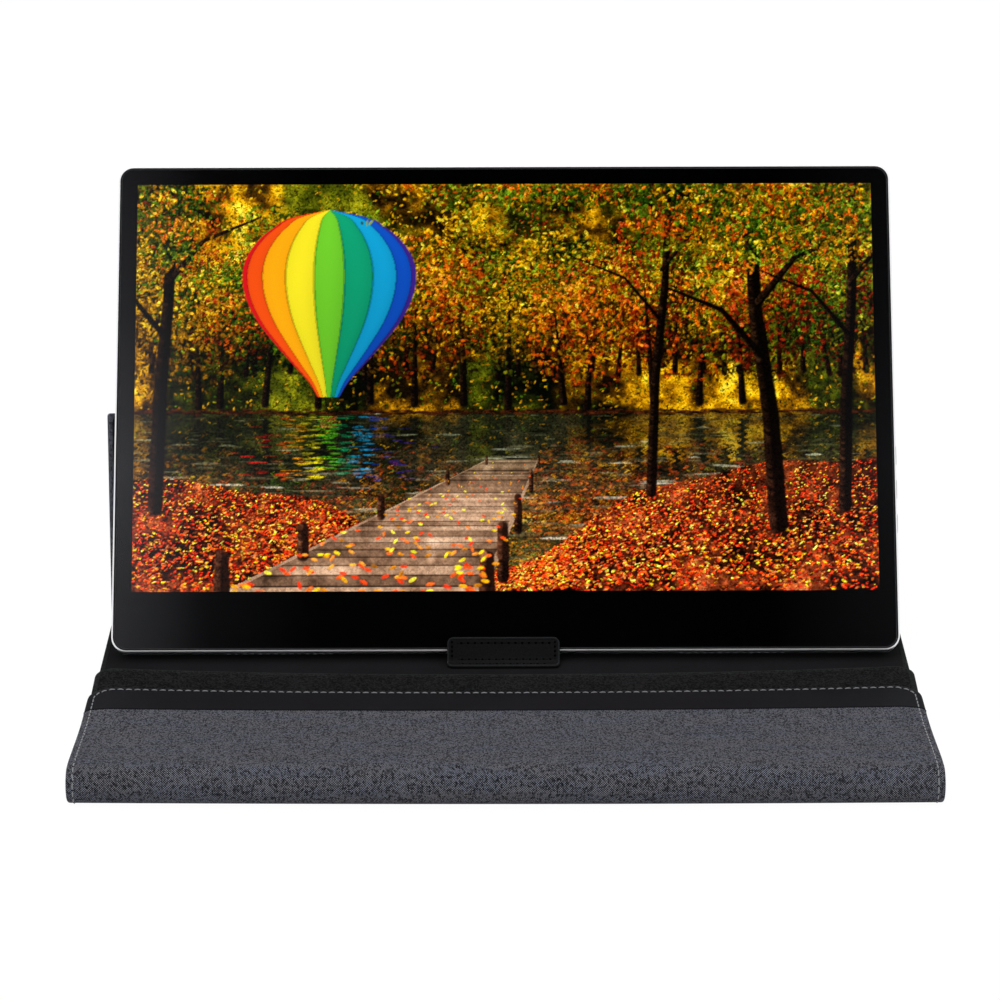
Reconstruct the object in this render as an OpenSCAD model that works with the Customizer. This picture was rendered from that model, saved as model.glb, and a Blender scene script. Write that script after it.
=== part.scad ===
// Portable monitor standing on its folding cloth cover.
// The cover is one strip: strut, base, pleat, leaf, nose and flap. The screen leans on the strut,
// and its bottom edge stands on the base behind a small leather tab.
// Origin: on the desk, midway along the cover, under the line on which the screen stands.
// +X runs along the screen to the right, +Y goes to the back, +Z is up.

/* [Screen housing] */
// Width of the housing
mon_w = 362; // [330:1:400]
// Height of the housing, measured along the glass
mon_h = 230.2; // [222:0.2:260]
// Thickness of the housing
mon_t = 10; // [9.6:0.1:13]
// Radius of the housing's corners, seen from the front
mon_corner_r = 7; // [4:0.5:10]
// How far the screen leans back from upright, in degrees
mon_lean = 31.7; // [26:0.1:38]
// Sideways place of the screen on the cover
mon_x = 0.5; // [-2:0.1:2]
// Width of the bright metal rim round the glass
rim_w = 1.2; // [0.8:0.1:2]
// Rounding of the rim's outer edge
rim_soft_r = 0.9; // [0.4:0.1:1]
// Depth of the front frame, up to the seam with the rear cover
frame_d = 3.6; // [3.4:0.1:4.4]
// Rounding of the rear cover's outer edge
rear_edge_r = 1.6; // [0.8:0.1:2]
// Wall of the front frame and the rear cover
wall_t = 1.2; // [0.8:0.1:1.4]
// Width of the ledge that the glass is glued to, from the frame's outside
ledge_w = 5; // [3:0.1:6]
// Thickness of that ledge
ledge_t = 1; // [0.6:0.1:1.4]

/* [Panel stack] */
// Width of the black border beside the picture
side_border = 8.9; // [8.5:0.1:30]
// Height of the border above the picture
top_border = 8.7; // [8.2:0.1:30]
// Height of the border below the picture
chin_h = 28; // [24:0.1:30]
// Thickness of the cover glass
glass_t = 0.9; // [0.7:0.1:1.1]
// How far the glass lies behind the rim's front
glass_sink = 0.15; // [0:0.05:0.3]
// Gap round the glass
glass_gap = 0.25; // [0.15:0.05:0.4]
// Thickness of the black border film behind the glass
print_t = 0.1; // [0.1:0.05:0.2]
// Thickness of the display cell
cell_t = 1.2; // [0.9:0.1:1.3]
// How far the cell reaches past the picture on each side
cell_edge = 2; // [1:0.1:2.4]
// Thickness of the light guide
guide_t = 1.2; // [0.8:0.1:1.3]
// Thickness of the steel tray
tray_t = 0.4; // [0.3:0.05:0.6]
// Thickness of the gasket between the cell and the border film
gasket_w = 1; // [0.8:0.1:1.1]

/* [Electronics] */
// Thickness of the circuit boards
pcb_t = 0.8; // [0.6:0.1:1]
// Length of the main board, along the side edge
board_l = 96; // [90:1:120]
// Width of the main board
board_w = 70; // [60:1:90]
// Height of the main board's lower edge above the housing's bottom edge
board_z = 34; // [32:1:50]
// Width of a USB-C socket's mouth
usb_w = 9; // [8.4:0.1:9.4]
// Height of a USB-C socket's mouth
usb_h = 3.2; // [3:0.1:3.3]
// Distance between the sockets
socket_pitch = 20; // [18:0.5:24]
// Width of the mini video socket's mouth
video_w = 11.2; // [10.6:0.1:11.6]
// Radius of the audio jack's bore
jack_r = 1.75; // [1.7:0.05:1.8]
// Depth of the audio jack's bore
jack_l = 13; // [12:0.5:15]
// Length of the loudspeakers
speaker_l = 62; // [40:1:80]
// Slots in each loudspeaker grille
grille_slots = 14; // [8:1:16]

/* [Keys] */
// Length of the power key
key_l = 9; // [7:0.5:12]
// Width of the keys
key_w = 2.4; // [2:0.1:2.8]
// How far a key stands out of the side
key_proud = 0.7; // [0.65:0.05:0.9]
// Travel of a key
key_travel = 0.5; // [0.3:0.05:0.6]
// Gap round a key
key_gap = 0.15; // [0.1:0.05:0.25]

/* [Cover panels] */
// Width of the cover
cover_w = 370; // [340:1:400]
// Thickness of every covered panel
panel_t = 2.8; // [2.4:0.1:3.4]
// Thickness of the cloth skin and of the lining
skin_t = 0.5; // [0.4:0.05:0.6]
// Width of the skin's turned edge round the lining
turn_w = 2.6; // [2:0.1:4]
// Small radius at the creased ends of the panels
crease_corner_r = 1.5; // [1:0.1:3]
// Front end of the base panel
base_front_y = -48; // [-56:0.5:-40]
// Thickness of the soft pleat strip between base and leaf
pleat_t = 0.8; // [0.6:0.1:1]
// Rear edge of the leaf panel
leaf_rear_y = -28; // [-32:0.5:-26]
// Radius of the leaf's rear corners
leaf_corner_r = 8; // [4:0.5:12]
// Height of the leaf's underside above the desk at its front end
leaf_front_z = 0.6; // [0.4:0.1:1.2]

/* [Stand] */
// Place of the rear crease, behind the line that the screen stands on
crease_y = 42; // [38:0.5:46]
// Radius of the rolled cloth in the crease
crease_r = 1.4; // [1.1:0.1:1.6]
// Length of the strut panel, from the crease
strut_len = 99.4; // [96:0.2:110]
// How much narrower the strut panel is than the cover
strut_less = 4; // [0:0.5:20]
// Sideways place of the strut panel
strut_x = -1.4; // [-3:0.1:3]
// Height of the magnet strip on the screen's back
magnet_h = 24; // [18:1:30]
// Distance of the magnet strip's ends from the housing's sides
magnet_end = 16; // [8:1:40]
// Thickness of the magnet strip
magnet_t = 1.8; // [1.5:0.1:2]
// Number of bar magnets in that strip
magnet_count = 6; // [4:1:8]
// Length of a bar magnet
magnet_l = 36; // [24:1:40]

/* [Nose and flap] */
// Height of the rounded nose
nose_h = 16.8; // [15:0.2:19]
// Foremost line of the nose
nose_front_y = -156.4; // [-162:0.2:-152]
// Straight stretch between the nose's round front and its back
nose_flat = 4; // [3:0.5:6]
// Free edge of the flap, as the distance from the nose's back
flap_l = 89.3; // [84:0.1:96]
// Radius of the flap's free corners
flap_corner_r = 13; // [8:0.5:16]
// Width of the smooth trim strip along the flap's free edge
trim_w = 24.3; // [18:0.1:30]
// Magnets in the flap's free edge
flap_magnet_count = 4; // [2:1:6]

/* [Leather tab] */
// Width of the tab
tab_w = 51.6; // [40:0.2:60]
// Sideways place of the tab
tab_x = -0.5; // [-3:0.1:3]
// Thickness of the leather
tab_t = 1.7; // [1.2:0.1:2]
// Front edge of the tab's foot
tab_front_y = -20; // [-22:0.5:-19]
// Inner radius of the bend
tab_bend_r = 3; // [2:0.1:3.2]
// How far the lip reaches up the glass
tab_reach = 6.3; // [5:0.1:8]
// Radius of the tab's corners
tab_corner_r = 3; // [2:0.1:4]

/* [Fits] */
// Gap between faces of two parts that move against each other
move_gap = 0.3; // [0.25:0.05:0.4]
// Gap between pieces that are glued or laid together
lay_gap = 0.05; // [0.04:0.01:0.1]

/* [Hidden] */
$fn = 48;
cut = 1;                       // how far a cutting solid runs past a face
rest_z = panel_t + move_gap;   // height of the line that the screen stands on

// Housing, measured from the front face (y = 0) and the bottom edge (z = 0)
mon_y = -mon_t * cos(mon_lean);
corner_lift = rear_edge_r * (sin(mon_lean) + cos(mon_lean) - 1);
mon_z = rest_z + mon_t * sin(mon_lean) - corner_lift;
active_w = mon_w - 2 * side_border;
active_h = mon_h - chin_h - top_border;
strut_w = cover_w - strut_less;
magnet_w = mon_w - 2 * magnet_end;
magnet_border = 5;             // cloth above and below the bar magnets
glass_back = glass_sink + glass_t;
print_back = glass_back + print_t;
ledge_back = print_back + lay_gap + ledge_t;
cell_y = print_back + lay_gap;
guide_y = cell_y + cell_t + lay_gap;
tray_y = guide_y + guide_t + lay_gap;
tray_back = tray_y + tray_t;
board_y = tray_back + 3 * lay_gap;
board_top = board_y + pcb_t;
seam_gap = lay_gap;
rear_floor_y = mon_t - wall_t;
cell_w = active_w + 2 * cell_edge;
cell_h = active_h + 2 * cell_edge;
cell_z = chin_h - cell_edge;
pocket_r = mon_corner_r - rim_w;
socket_y = board_top + usb_h / 2 + 0.3;
side_x = mon_w / 2;
socket_z = board_z + 18;
socket_d = 7.4;
socket_wall = 0.3;
jack_body = 2 * jack_r + 1.4;
key_z = 60;
key_pitch = 16;
mid_lug_z = key_z + 3 * key_pitch + 7.1;   // clear of the audio jack
key_d = wall_t + key_proud + 1;
key_y = (frame_d + mon_t) / 2 - 0.2;
key_board_x = side_x - wall_t - 1 - key_travel - 0.3;
lug_r = 1.9;
lug_in = 3.6;                    // lug centres from the housing's outside
screw_r = 0.7;
screw_head_r = 1.5;
screw_head_t = 0.6;
steel_t = 0.4;
speaker_h = 13;
speaker_z = 9;
speaker_t = rear_floor_y - board_y - 0.8;
speaker_x = mon_w / 2 - 77;
source_z = 8;
source_h = 11;
source_w = mon_w - 152;
lug_spots = [
    for (s = [-1, 1], z = [20, mid_lug_z, mon_h - 20]) [s * (mon_w / 2 - lug_in), z],
    for (x = [-mon_w / 4, mon_w / 4]) [x, mon_h - lug_in],
    for (x = [-mon_w / 6, mon_w / 6]) [x, lug_in]
];

// Strut: its front face meets the housing's back along the strut's upper edge
crease_z = panel_t / 2;
crease_clear = crease_r + lay_gap;
back_foot_z = mon_z - mon_t * sin(mon_lean);
foot_dist = crease_y * cos(mon_lean) - (crease_z - back_foot_z) * sin(mon_lean) - move_gap;
strut_gap_angle = asin(foot_dist / norm([strut_len, panel_t / 2])) - atan(panel_t / 2 / strut_len);
strut_lean = mon_lean - strut_gap_angle;
strut_top_y = crease_y + strut_len * sin(strut_lean) - panel_t / 2 * cos(strut_lean);
strut_top_z = crease_z + strut_len * cos(strut_lean) + panel_t / 2 * sin(strut_lean);
// distance up the housing's back at which the strut's upper edge touches
strut_up = strut_top_y * sin(mon_lean) + (strut_top_z - back_foot_z) * cos(mon_lean);
magnet_z = strut_up + 1.5;

// Base, pleat, leaf
base_l = crease_y - crease_clear - base_front_y;
pleat_z = panel_t + lay_gap;
pleat_l = leaf_rear_y - base_front_y;
nose_r = nose_h / 2;
nose_y = nose_front_y + nose_r;
nose_back_y = nose_y + nose_flat;
leaf_front_y = nose_back_y + move_gap;
leaf_l = leaf_rear_y - leaf_front_y;
leaf_low_z = pleat_z + pleat_t + move_gap;   // least height over the base's front end
leaf_tilt = atan((leaf_low_z - leaf_front_z) / (base_front_y - leaf_front_y));
leaf_rear_z = leaf_front_z + leaf_l * tan(leaf_tilt);
leaf_axis_z = pleat_z + pleat_t;

// Flap: its free edge lies on the leaf
flap_hinge_y = nose_back_y;
flap_front_y = nose_back_y + move_gap;
flap_front_z = nose_h - move_gap - panel_t;
leaf_top_under_flap = leaf_front_z + panel_t / cos(leaf_tilt) + flap_l * tan(leaf_tilt);
flap_tilt = asin((flap_front_z - leaf_top_under_flap - move_gap) / flap_l);
flap_magnet_l = 24;
flap_magnet_w = 8;
flap_magnet_in = 12;           // magnet centre line from the flap's free edge

// Tab: the bend joins the foot's top face to the face that lies on the glass
tab_foot_z = panel_t + lay_gap;
tab_glass_gap = move_gap;
tab_cz = tab_foot_z + tab_t + tab_bend_r;
tab_cy = mon_y + ((tab_cz - mon_z) * sin(mon_lean) - (tab_glass_gap + tab_t + tab_bend_r)) / cos(mon_lean);
tab_turn = 90 - mon_lean;
tab_bend_up = (tab_cy - mon_y) * sin(mon_lean) + (tab_cz - mon_z) * cos(mon_lean);
tab_lip_l = tab_reach - tab_bend_up;

// ---------- helpers ----------

// Rounded rectangle standing on the X axis
module rounded_rect(w, h, r) {
    translate([-w / 2 + r, 0]) square([w - 2 * r, h]);
    translate([-w / 2, r]) square([w, h - 2 * r]);
    for (x = [-w / 2 + r, w / 2 - r], y = [r, h - r])
        translate([x, y]) circle(r = r);
}

// Upright plate in the housing's own frame: z is up, y runs from y0 to y0 + t
module upright(w, h, r, y0, t, z0 = 0) {
    translate([0, y0 + t, z0]) rotate([90, 0, 0]) linear_extrude(t) rounded_rect(w, h, r);
}

module upright_box(x0, x1, y0, y1, z0, z1) {
    translate([x0, y0, z0]) cube([x1 - x0, y1 - y0, z1 - z0]);
}

// Upright plate whose rear outer edge is rounded with radius e
module upright_soft(w, h, r, e, y0, t) {
    upright(w, h, r, y0, t - e);
    upright(w - 2 * e, h - 2 * e, r - e, y0, t, e);
    for (z = [e, h - e])
        translate([0, y0 + t - e, z]) rotate([0, 90, 0]) cylinder(r = e, h = w - 2 * r, center = true);
    for (x = [-w / 2 + e, w / 2 - e])
        translate([x, y0 + t - e, r]) cylinder(r = e, h = h - 2 * r);
    for (x = [-w / 2 + r, w / 2 - r], z = [r, h - r])
        translate([x, y0 + t - e, z]) rotate([90, 0, 0])
            rotate_extrude() translate([r - e, 0]) circle(r = e);
}

module in_housing() {
    translate([mon_x, mon_y, mon_z]) rotate([-mon_lean, 0, 0]) children();
}

// Outline of a cover panel: y from 0 to l, small corners near 0 and free corners at l
module panel_outline(w, l, near_r, far_r, inset = 0) {
    a = max(near_r - inset, 0.2);
    b = max(far_r - inset, 0.2);
    half = w / 2 - inset;
    lap = 0.1;
    translate([-half, inset + a]) square([2 * half, l - 2 * inset - a - b]);
    translate([-half + a, inset]) square([2 * (half - a), a + lap]);
    translate([-half + b, l - inset - b - lap]) square([2 * (half - b), b + lap]);
    for (s = [-1, 1]) {
        translate([s * (half - a), inset + a]) circle(r = a);
        translate([s * (half - b), l - inset - b]) circle(r = b);
    }
}

module panel_slab(w, l, near_r, far_r, inset, z0, z1) {
    translate([0, 0, z0]) linear_extrude(z1 - z0) panel_outline(w, l, near_r, far_r, inset);
}

// The cloth skin: a tray under the board whose edge is turned over on to the top
module panel_skin(w, l, near_r, far_r) {
    difference() {
        panel_slab(w, l, near_r, far_r, 0, 0, panel_t);
        panel_slab(w, l, near_r, far_r, skin_t, skin_t, panel_t - skin_t);
        panel_slab(w, l, near_r, far_r, turn_w, panel_t / 2, panel_t + cut);
    }
}

module panel_board(w, l, near_r, far_r) {
    room = skin_t + lay_gap;
    panel_slab(w, l, near_r, far_r, room, room, panel_t - room);
}

module panel_lining(w, l, near_r, far_r) {
    panel_slab(w, l, near_r, far_r, turn_w + lay_gap, panel_t - skin_t, panel_t);
}

// Solid with a profile in Y and Z, run along X
module along_x(w) {
    translate([-w / 2, 0, 0]) rotate([90, 0, 90]) linear_extrude(w) children();
}

// ---------- housing ----------

module front_frame() {
    color("silver") in_housing() {
        difference() {
            translate([0, frame_d, 0]) mirror([0, 1, 0])
                upright_soft(mon_w, mon_h, mon_corner_r, rim_soft_r, 0, frame_d);
            upright(mon_w - 2 * rim_w, mon_h - 2 * rim_w, pocket_r, -cut, cut + print_back + lay_gap, rim_w);
            upright(mon_w - 2 * ledge_w, mon_h - 2 * ledge_w, 2, -cut, frame_d + 2 * cut, ledge_w);
            upright(mon_w - 2 * wall_t, mon_h - 2 * wall_t, mon_corner_r - wall_t, ledge_back, frame_d, wall_t);
        }
        for (spot = lug_spots) difference() {
            translate([spot[0], ledge_back - 0.1, spot[1]]) rotate([-90, 0, 0])
                cylinder(r = lug_r, h = rear_floor_y - lay_gap - ledge_back + 0.1);
            translate([spot[0], ledge_back + 1, spot[1]]) rotate([-90, 0, 0])
                cylinder(r = screw_r + lay_gap, h = mon_t);
        }
    }
}

module rear_cover() {
    color("silver") in_housing() difference() {
        upright_soft(mon_w, mon_h, mon_corner_r, rear_edge_r, frame_d + seam_gap, mon_t - frame_d - seam_gap);
        upright(mon_w - 2 * wall_t, mon_h - 2 * wall_t, mon_corner_r - wall_t,
                frame_d - cut, rear_floor_y - frame_d + cut, wall_t);
        for (spot = lug_spots) translate([spot[0], rear_floor_y - cut, spot[1]]) rotate([-90, 0, 0]) {
            cylinder(r = screw_r + 2 * lay_gap, h = mon_t);
            translate([0, 0, cut + wall_t - screw_head_t - lay_gap])
                cylinder(r = screw_head_r + lay_gap, h = mon_t);
        }
        for (i = [0, 1]) side_slot(-1, usb_z(i), usb_w + 2 * socket_wall, usb_h + 2 * socket_wall);
        side_slot(-1, video_z(), video_w + 2 * socket_wall, usb_h + 2 * socket_wall);
        translate([0, socket_y, jack_z()]) rotate([0, 90, 0]) cylinder(r = jack_r + 0.4, h = mon_w);
        side_slot(1, key_z, key_l + 2 * key_gap, key_w + 2 * key_gap, key_y);
        for (i = [0, 1]) side_slot(1, menu_z(i), key_l + 2 * key_gap, key_w + 2 * key_gap, key_y);
        for (s = [-1, 1], i = [0 : grille_slots - 1])
            translate([s * speaker_x + (i - (grille_slots - 1) / 2) * 3.6, (frame_d + mon_t) / 2, 0])
                cube([1.6, 2.4, 2 * wall_t + cut], center = true);
    }
}

// Slot with round ends through the housing's left (-1) or right (1) side
module side_slot(side, z, l, h, y = socket_y) {
    translate([side * (side_x - wall_t - cut), y, z]) rotate([0, side * 90, 0])
        linear_extrude(wall_t + 2 * cut) slot_outline(l, h, side);
}

// Round-ended outline, long along the housing's edge
module slot_outline(l, h, side = 1) {
    square([l - h, h], center = true);
    for (s = [-1, 1]) translate([s * (l - h) / 2, 0]) circle(r = h / 2);
}

module rear_screws() {
    color("dimgray") in_housing()
        for (spot = lug_spots) translate([spot[0], 0, spot[1]]) rotate([-90, 0, 0]) {
            translate([0, 0, mon_t - screw_head_t]) difference() {
                cylinder(r = screw_head_r, h = screw_head_t);
                translate([0, 0, screw_head_t / 2]) for (a = [0, 90]) rotate(a)
                    translate([-0.8, -0.15, 0]) cube([1.6, 0.3, screw_head_t]);
            }
            translate([0, 0, ledge_back + 1.2])
                cylinder(r = screw_r, h = mon_t - screw_head_t - ledge_back - 1.2);
        }
}

module cover_glass() {
    color([0.05, 0.05, 0.06, 0.5]) in_housing()
        upright(mon_w - 2 * (rim_w + glass_gap), mon_h - 2 * (rim_w + glass_gap), pocket_r - glass_gap,
                glass_sink, glass_t, rim_w + glass_gap);
}

module border_print() {
    edge = rim_w + glass_gap;
    color("black") in_housing() difference() {
        upright(mon_w - 2 * edge, mon_h - 2 * edge, pocket_r - glass_gap, glass_back, print_t, edge);
        upright(active_w, active_h, 0.3, glass_back - cut, 3 * cut, chin_h);
    }
}

module panel_gasket() {
    color("black") in_housing() difference() {
        upright(cell_w + 2 * gasket_w, cell_h + 2 * gasket_w, 1, print_back + lay_gap, cell_t, cell_z - gasket_w);
        upright(cell_w + 2 * lay_gap, cell_h + 2 * lay_gap, 0.3, print_back - cut, cell_t + 3 * cut,
                cell_z - lay_gap);
    }
}

module display_cell() {
    color([0.25, 0.3, 0.35]) in_housing() upright(cell_w, cell_h, 0.3, cell_y, cell_t, cell_z);
}

module light_guide() {
    color([0.85, 0.9, 0.95, 0.6]) in_housing()
        upright(cell_w - 2, cell_h - 4, 0.3, guide_y, guide_t, cell_z + 3);
}

module led_bar() {
    led_pitch = cell_w / 49;
    color([0.95, 0.9, 0.6]) in_housing()
        upright_box(-cell_w / 2 + 2, cell_w / 2 - 2, guide_y, guide_y + guide_t, cell_z + 1.2, cell_z + 2.2);
    color([0.95, 0.9, 0.6]) in_housing() for (i = [-23 : 23])
        upright_box(i * led_pitch - 1.6, i * led_pitch + 1.6, guide_y + 0.2, guide_y + guide_t - 0.2,
                    cell_z + 2.2, cell_z + 2.9);
}

module panel_tray() {
    color("slategray") in_housing() difference() {
        upright(cell_w + 2 * gasket_w, cell_h + 2 * gasket_w, 1, guide_y, tray_back - guide_y, cell_z - gasket_w);
        upright(cell_w, cell_h, 0.3, guide_y - cut, guide_t + lay_gap + cut, cell_z);
        for (x = [-cell_w / 4, cell_w / 4], z = [0.3, 0.7]) translate([x, tray_y, cell_z + z * cell_h])
            rotate([-90, 0, 0]) cylinder(r = 5, h = 3 * cut, center = true);
    }
}

module main_board() {
    x0 = -side_x + lug_in + lug_r + 0.3;
    color("darkgreen") in_housing() difference() {
        upright_box(x0, x0 + board_w, board_y, board_top, board_z, board_z + board_l);
        for (z = [5, board_l - 5]) translate([x0 + board_w - 5, board_y - cut, board_z + z])
            rotate([-90, 0, 0]) cylinder(r = 1.5, h = 3 * cut);
    }
    color("black") in_housing() {
        chip(x0 + 26, board_z + 58, 15, 15, 1.2);
        chip(x0 + 52, board_z + 60, 9, 9, 1);
        chip(x0 + 50, board_z + 38, 6, 8, 1);
        for (i = [0 : 3]) chip(x0 + 22 + 9 * i, board_z + 14, 5, 5, 1.8);
    }
}

module chip(x, z, w, h, t) {
    upright_box(x, x + w, board_top, board_top + t, z, z + h);
}

module source_board() {
    y0 = cell_y + 0.3;
    color("darkgreen") in_housing()
        upright_box(-source_w / 2, source_w / 2, y0, y0 + pcb_t, source_z, source_z + source_h);
    color("black") in_housing() for (i = [-2 : 2])
        upright_box(i * 40 - 7, i * 40 + 7, y0 + pcb_t, y0 + pcb_t + 0.5, source_z + 3, source_z + 6);
}

// Four tails from the source board to the cell, and one ribbon to the main board
module flat_cables() {
    y0 = cell_y + 0.3 + pcb_t;
    tail_top = cell_z - gasket_w - lay_gap;
    color("darkorange") in_housing() for (i = [-1.5 : 1.5])
        upright_box(i * 44 - 9, i * 44 + 9, y0 - 0.5, y0 - 0.3, source_z + source_h, tail_top);
    ribbon_x = -side_x + wall_t + 40;
    lap = 6;
    bridge_y = board_y - 0.1;
    color("darkorange") in_housing() {
        upright_box(ribbon_x, -source_w / 2 + lap, y0, y0 + 0.2, source_z + 1, source_z + 9);
        upright_box(ribbon_x, ribbon_x + 8, y0, bridge_y + 0.2, source_z + 9 - 0.2, source_z + 9);
        upright_box(ribbon_x, ribbon_x + 8, bridge_y, bridge_y + 0.2, source_z + 8.8, board_z - lay_gap);
    }
}

function usb_z(i) = socket_z + i * socket_pitch;
function video_z() = socket_z + 2 * socket_pitch + 2;
function jack_z() = key_z + 3 * key_pitch;
function menu_z(i) = key_z + (i + 1) * key_pitch;

// Metal shell of a socket with its open mouth to the left and a tongue inside
module socket_shell(z, w) {
    depth = socket_d;
    translate([-side_x + lay_gap, socket_y, z]) rotate([0, 90, 0]) difference() {
        linear_extrude(depth) slot_outline(w + 2 * socket_wall - 2 * lay_gap, usb_h + 2 * socket_wall - 2 * lay_gap);
        translate([0, 0, -cut]) linear_extrude(depth - 0.6 + cut) slot_outline(w, usb_h);
    }
    translate([-side_x + 1.2, socket_y - 0.35, z - w / 2 + 1.3]) cube([depth - 1.5, 0.7, w - 2.6]);
}

module usb_sockets() {
    color("gainsboro") in_housing() for (i = [0, 1]) socket_shell(usb_z(i), usb_w);
}

module video_socket() {
    color("gainsboro") in_housing() socket_shell(video_z(), video_w);
}

module audio_jack() {
    color("black") in_housing() difference() {
        upright_box(side_x - wall_t - lay_gap - jack_l - 1, side_x - wall_t - lay_gap,
                    socket_y - jack_body / 2, min(socket_y + jack_body / 2, rear_floor_y - lay_gap),
                    jack_z() - 3, jack_z() + 3);
        translate([side_x - wall_t - jack_l, socket_y, jack_z()]) rotate([0, 90, 0])
            cylinder(r = jack_r, h = jack_l + cut);
    }
}

module speakers() {
    color("black") in_housing() for (s = [-1, 1]) difference() {
        upright_box(s * speaker_x - speaker_l / 2, s * speaker_x + speaker_l / 2,
                    rear_floor_y - lay_gap - speaker_t, rear_floor_y - lay_gap,
                    speaker_z - speaker_h / 2 + 0.8, speaker_z + speaker_h / 2 + 0.8);
        translate([s * speaker_x, rear_floor_y - lay_gap - speaker_t + 0.3, speaker_z + 0.8])
            rotate([90, 0, 0]) linear_extrude(2 * cut) slot_outline(speaker_l - 24, speaker_h - 4);
    }
}

module steel_strip() {
    color("lightslategray") in_housing()
        upright(magnet_w, magnet_h, 1, rear_floor_y - lay_gap - steel_t, steel_t, magnet_z);
}

module key(z) {
    translate([side_x - wall_t - 1, key_y, z]) rotate([0, 90, 0]) {
        linear_extrude(key_d) slot_outline(key_l, key_w);
        linear_extrude(0.8) slot_outline(key_l + 1.6, key_w + 1);
    }
}

module power_key() {
    color("silver") in_housing() key(key_z);
}

module menu_key_up() {
    color("silver") in_housing() key(menu_z(1));
}

module menu_key_down() {
    color("silver") in_housing() key(menu_z(0));
}

module key_board() {
    low = key_z - key_pitch / 2;
    high = menu_z(1) + key_pitch / 2;
    color("darkgreen") in_housing()
        upright_box(key_board_x - 1 - pcb_t, key_board_x - 1, board_y, rear_floor_y - lay_gap, low, high);
    color("dimgray") in_housing() for (z = [key_z, menu_z(0), menu_z(1)])
        upright_box(key_board_x - 1, key_board_x, key_y - 1.5, key_y + 1.5, z - 2, z + 2);
}

// ---------- cover: base ----------

module at_base() {
    translate([0, base_front_y, 0]) children();
}

module base_skin() {
    color("dimgray") at_base() panel_skin(cover_w, base_l, crease_corner_r, crease_corner_r);
}

module base_board() {
    color("tan") at_base() panel_board(cover_w, base_l, crease_corner_r, crease_corner_r);
}

module base_lining() {
    color([0.12, 0.12, 0.13]) at_base() panel_lining(cover_w, base_l, crease_corner_r, crease_corner_r);
}

module rear_crease() {
    color("dimgray") translate([0, crease_y, crease_r]) rotate([0, 90, 0])
        cylinder(r = crease_r, h = strut_w - 4, center = true);
}

module pleat_strip() {
    color([0.12, 0.12, 0.13]) translate([0, base_front_y, 0])
        panel_slab(cover_w - 2 * turn_w, pleat_l, crease_corner_r, crease_corner_r, 0, pleat_z, pleat_z + pleat_t);
}

module tab_foot() {
    color([0.1, 0.1, 0.11]) translate([tab_x, tab_cy, tab_foot_z]) mirror([0, 1, 0]) intersection() {
        translate([0, -2 * tab_corner_r, 0])
            panel_slab(tab_w, tab_cy - tab_front_y + 2 * tab_corner_r, 0.2, tab_corner_r, 0, 0, tab_t);
        translate([-tab_w, 0, -cut]) cube([2 * tab_w, 10 * tab_corner_r, tab_t + 2 * cut]);
    }
}

module tab_lip() {
    start = lay_gap / (tab_bend_r + tab_t) * 180 / PI;
    steps = 8;
    span = [for (i = [0 : steps]) start + (tab_turn - start) * i / steps];
    function ring(r) = [for (a = span) [tab_cy + r * sin(a), tab_cz - r * cos(a)]];
    inner = ring(tab_bend_r);
    outer = ring(tab_bend_r + tab_t);
    color([0.1, 0.1, 0.11]) {
        translate([tab_x, 0, 0]) along_x(tab_w)
            polygon(concat(inner, [for (i = [steps : -1 : 0]) outer[i]]));
        translate([tab_x, tab_cy + tab_bend_r * sin(tab_turn), tab_cz - tab_bend_r * cos(tab_turn)])
            rotate([tab_turn, 0, 0]) panel_slab(tab_w, tab_lip_l, 0.2, tab_corner_r, 0, -tab_t, 0);
    }
}

// ---------- cover: strut ----------

// A lying panel is stood on its end, with its lining to the front
module at_strut() {
    translate([strut_x, crease_y, crease_z]) rotate([-strut_lean, 0, 0])
        translate([0, panel_t / 2, crease_clear]) rotate([90, 0, 0]) children();
}

module strut_skin() {
    color("dimgray") at_strut()
        panel_skin(strut_w, strut_len - crease_clear, crease_corner_r, crease_corner_r);
}

module strut_board() {
    color("tan") at_strut()
        panel_board(strut_w, strut_len - crease_clear, crease_corner_r, crease_corner_r);
}

module strut_lining() {
    color([0.12, 0.12, 0.13]) at_strut()
        panel_lining(strut_w, strut_len - crease_clear, crease_corner_r, crease_corner_r);
}

module magnet_row(gap) {
    pitch = magnet_w / magnet_count;
    for (i = [0 : magnet_count - 1])
        translate([(i - (magnet_count - 1) / 2) * pitch, 0, 0])
            upright(magnet_l + 2 * gap, magnet_h - 2 * magnet_border + 2 * gap, 0.8,
                    mon_t + move_gap + skin_t - gap, magnet_t - 2 * skin_t + 2 * gap,
                    magnet_z + magnet_border - gap);
}

module magnet_sleeve() {
    color([0.12, 0.12, 0.13]) in_housing() difference() {
        upright(magnet_w, magnet_h, 3, mon_t + move_gap, magnet_t, magnet_z);
        magnet_row(lay_gap);
    }
}

module strut_magnets() {
    color("silver") in_housing() magnet_row(0);
}

// ---------- cover: leaf, nose and flap ----------

// The leaf's local y runs from its front end to its free rear edge
module at_leaf() {
    translate([0, leaf_front_y, leaf_front_z]) rotate([leaf_tilt, 0, 0]) children();
}

leaf_len = leaf_l / cos(leaf_tilt);

module leaf_skin() {
    color("dimgray") at_leaf() panel_skin(cover_w, leaf_len, crease_corner_r, leaf_corner_r);
}

module leaf_board() {
    color("tan") at_leaf() panel_board(cover_w, leaf_len, crease_corner_r, leaf_corner_r);
}

module leaf_lining() {
    color([0.12, 0.12, 0.13]) at_leaf() panel_lining(cover_w, leaf_len, crease_corner_r, leaf_corner_r);
}

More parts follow.
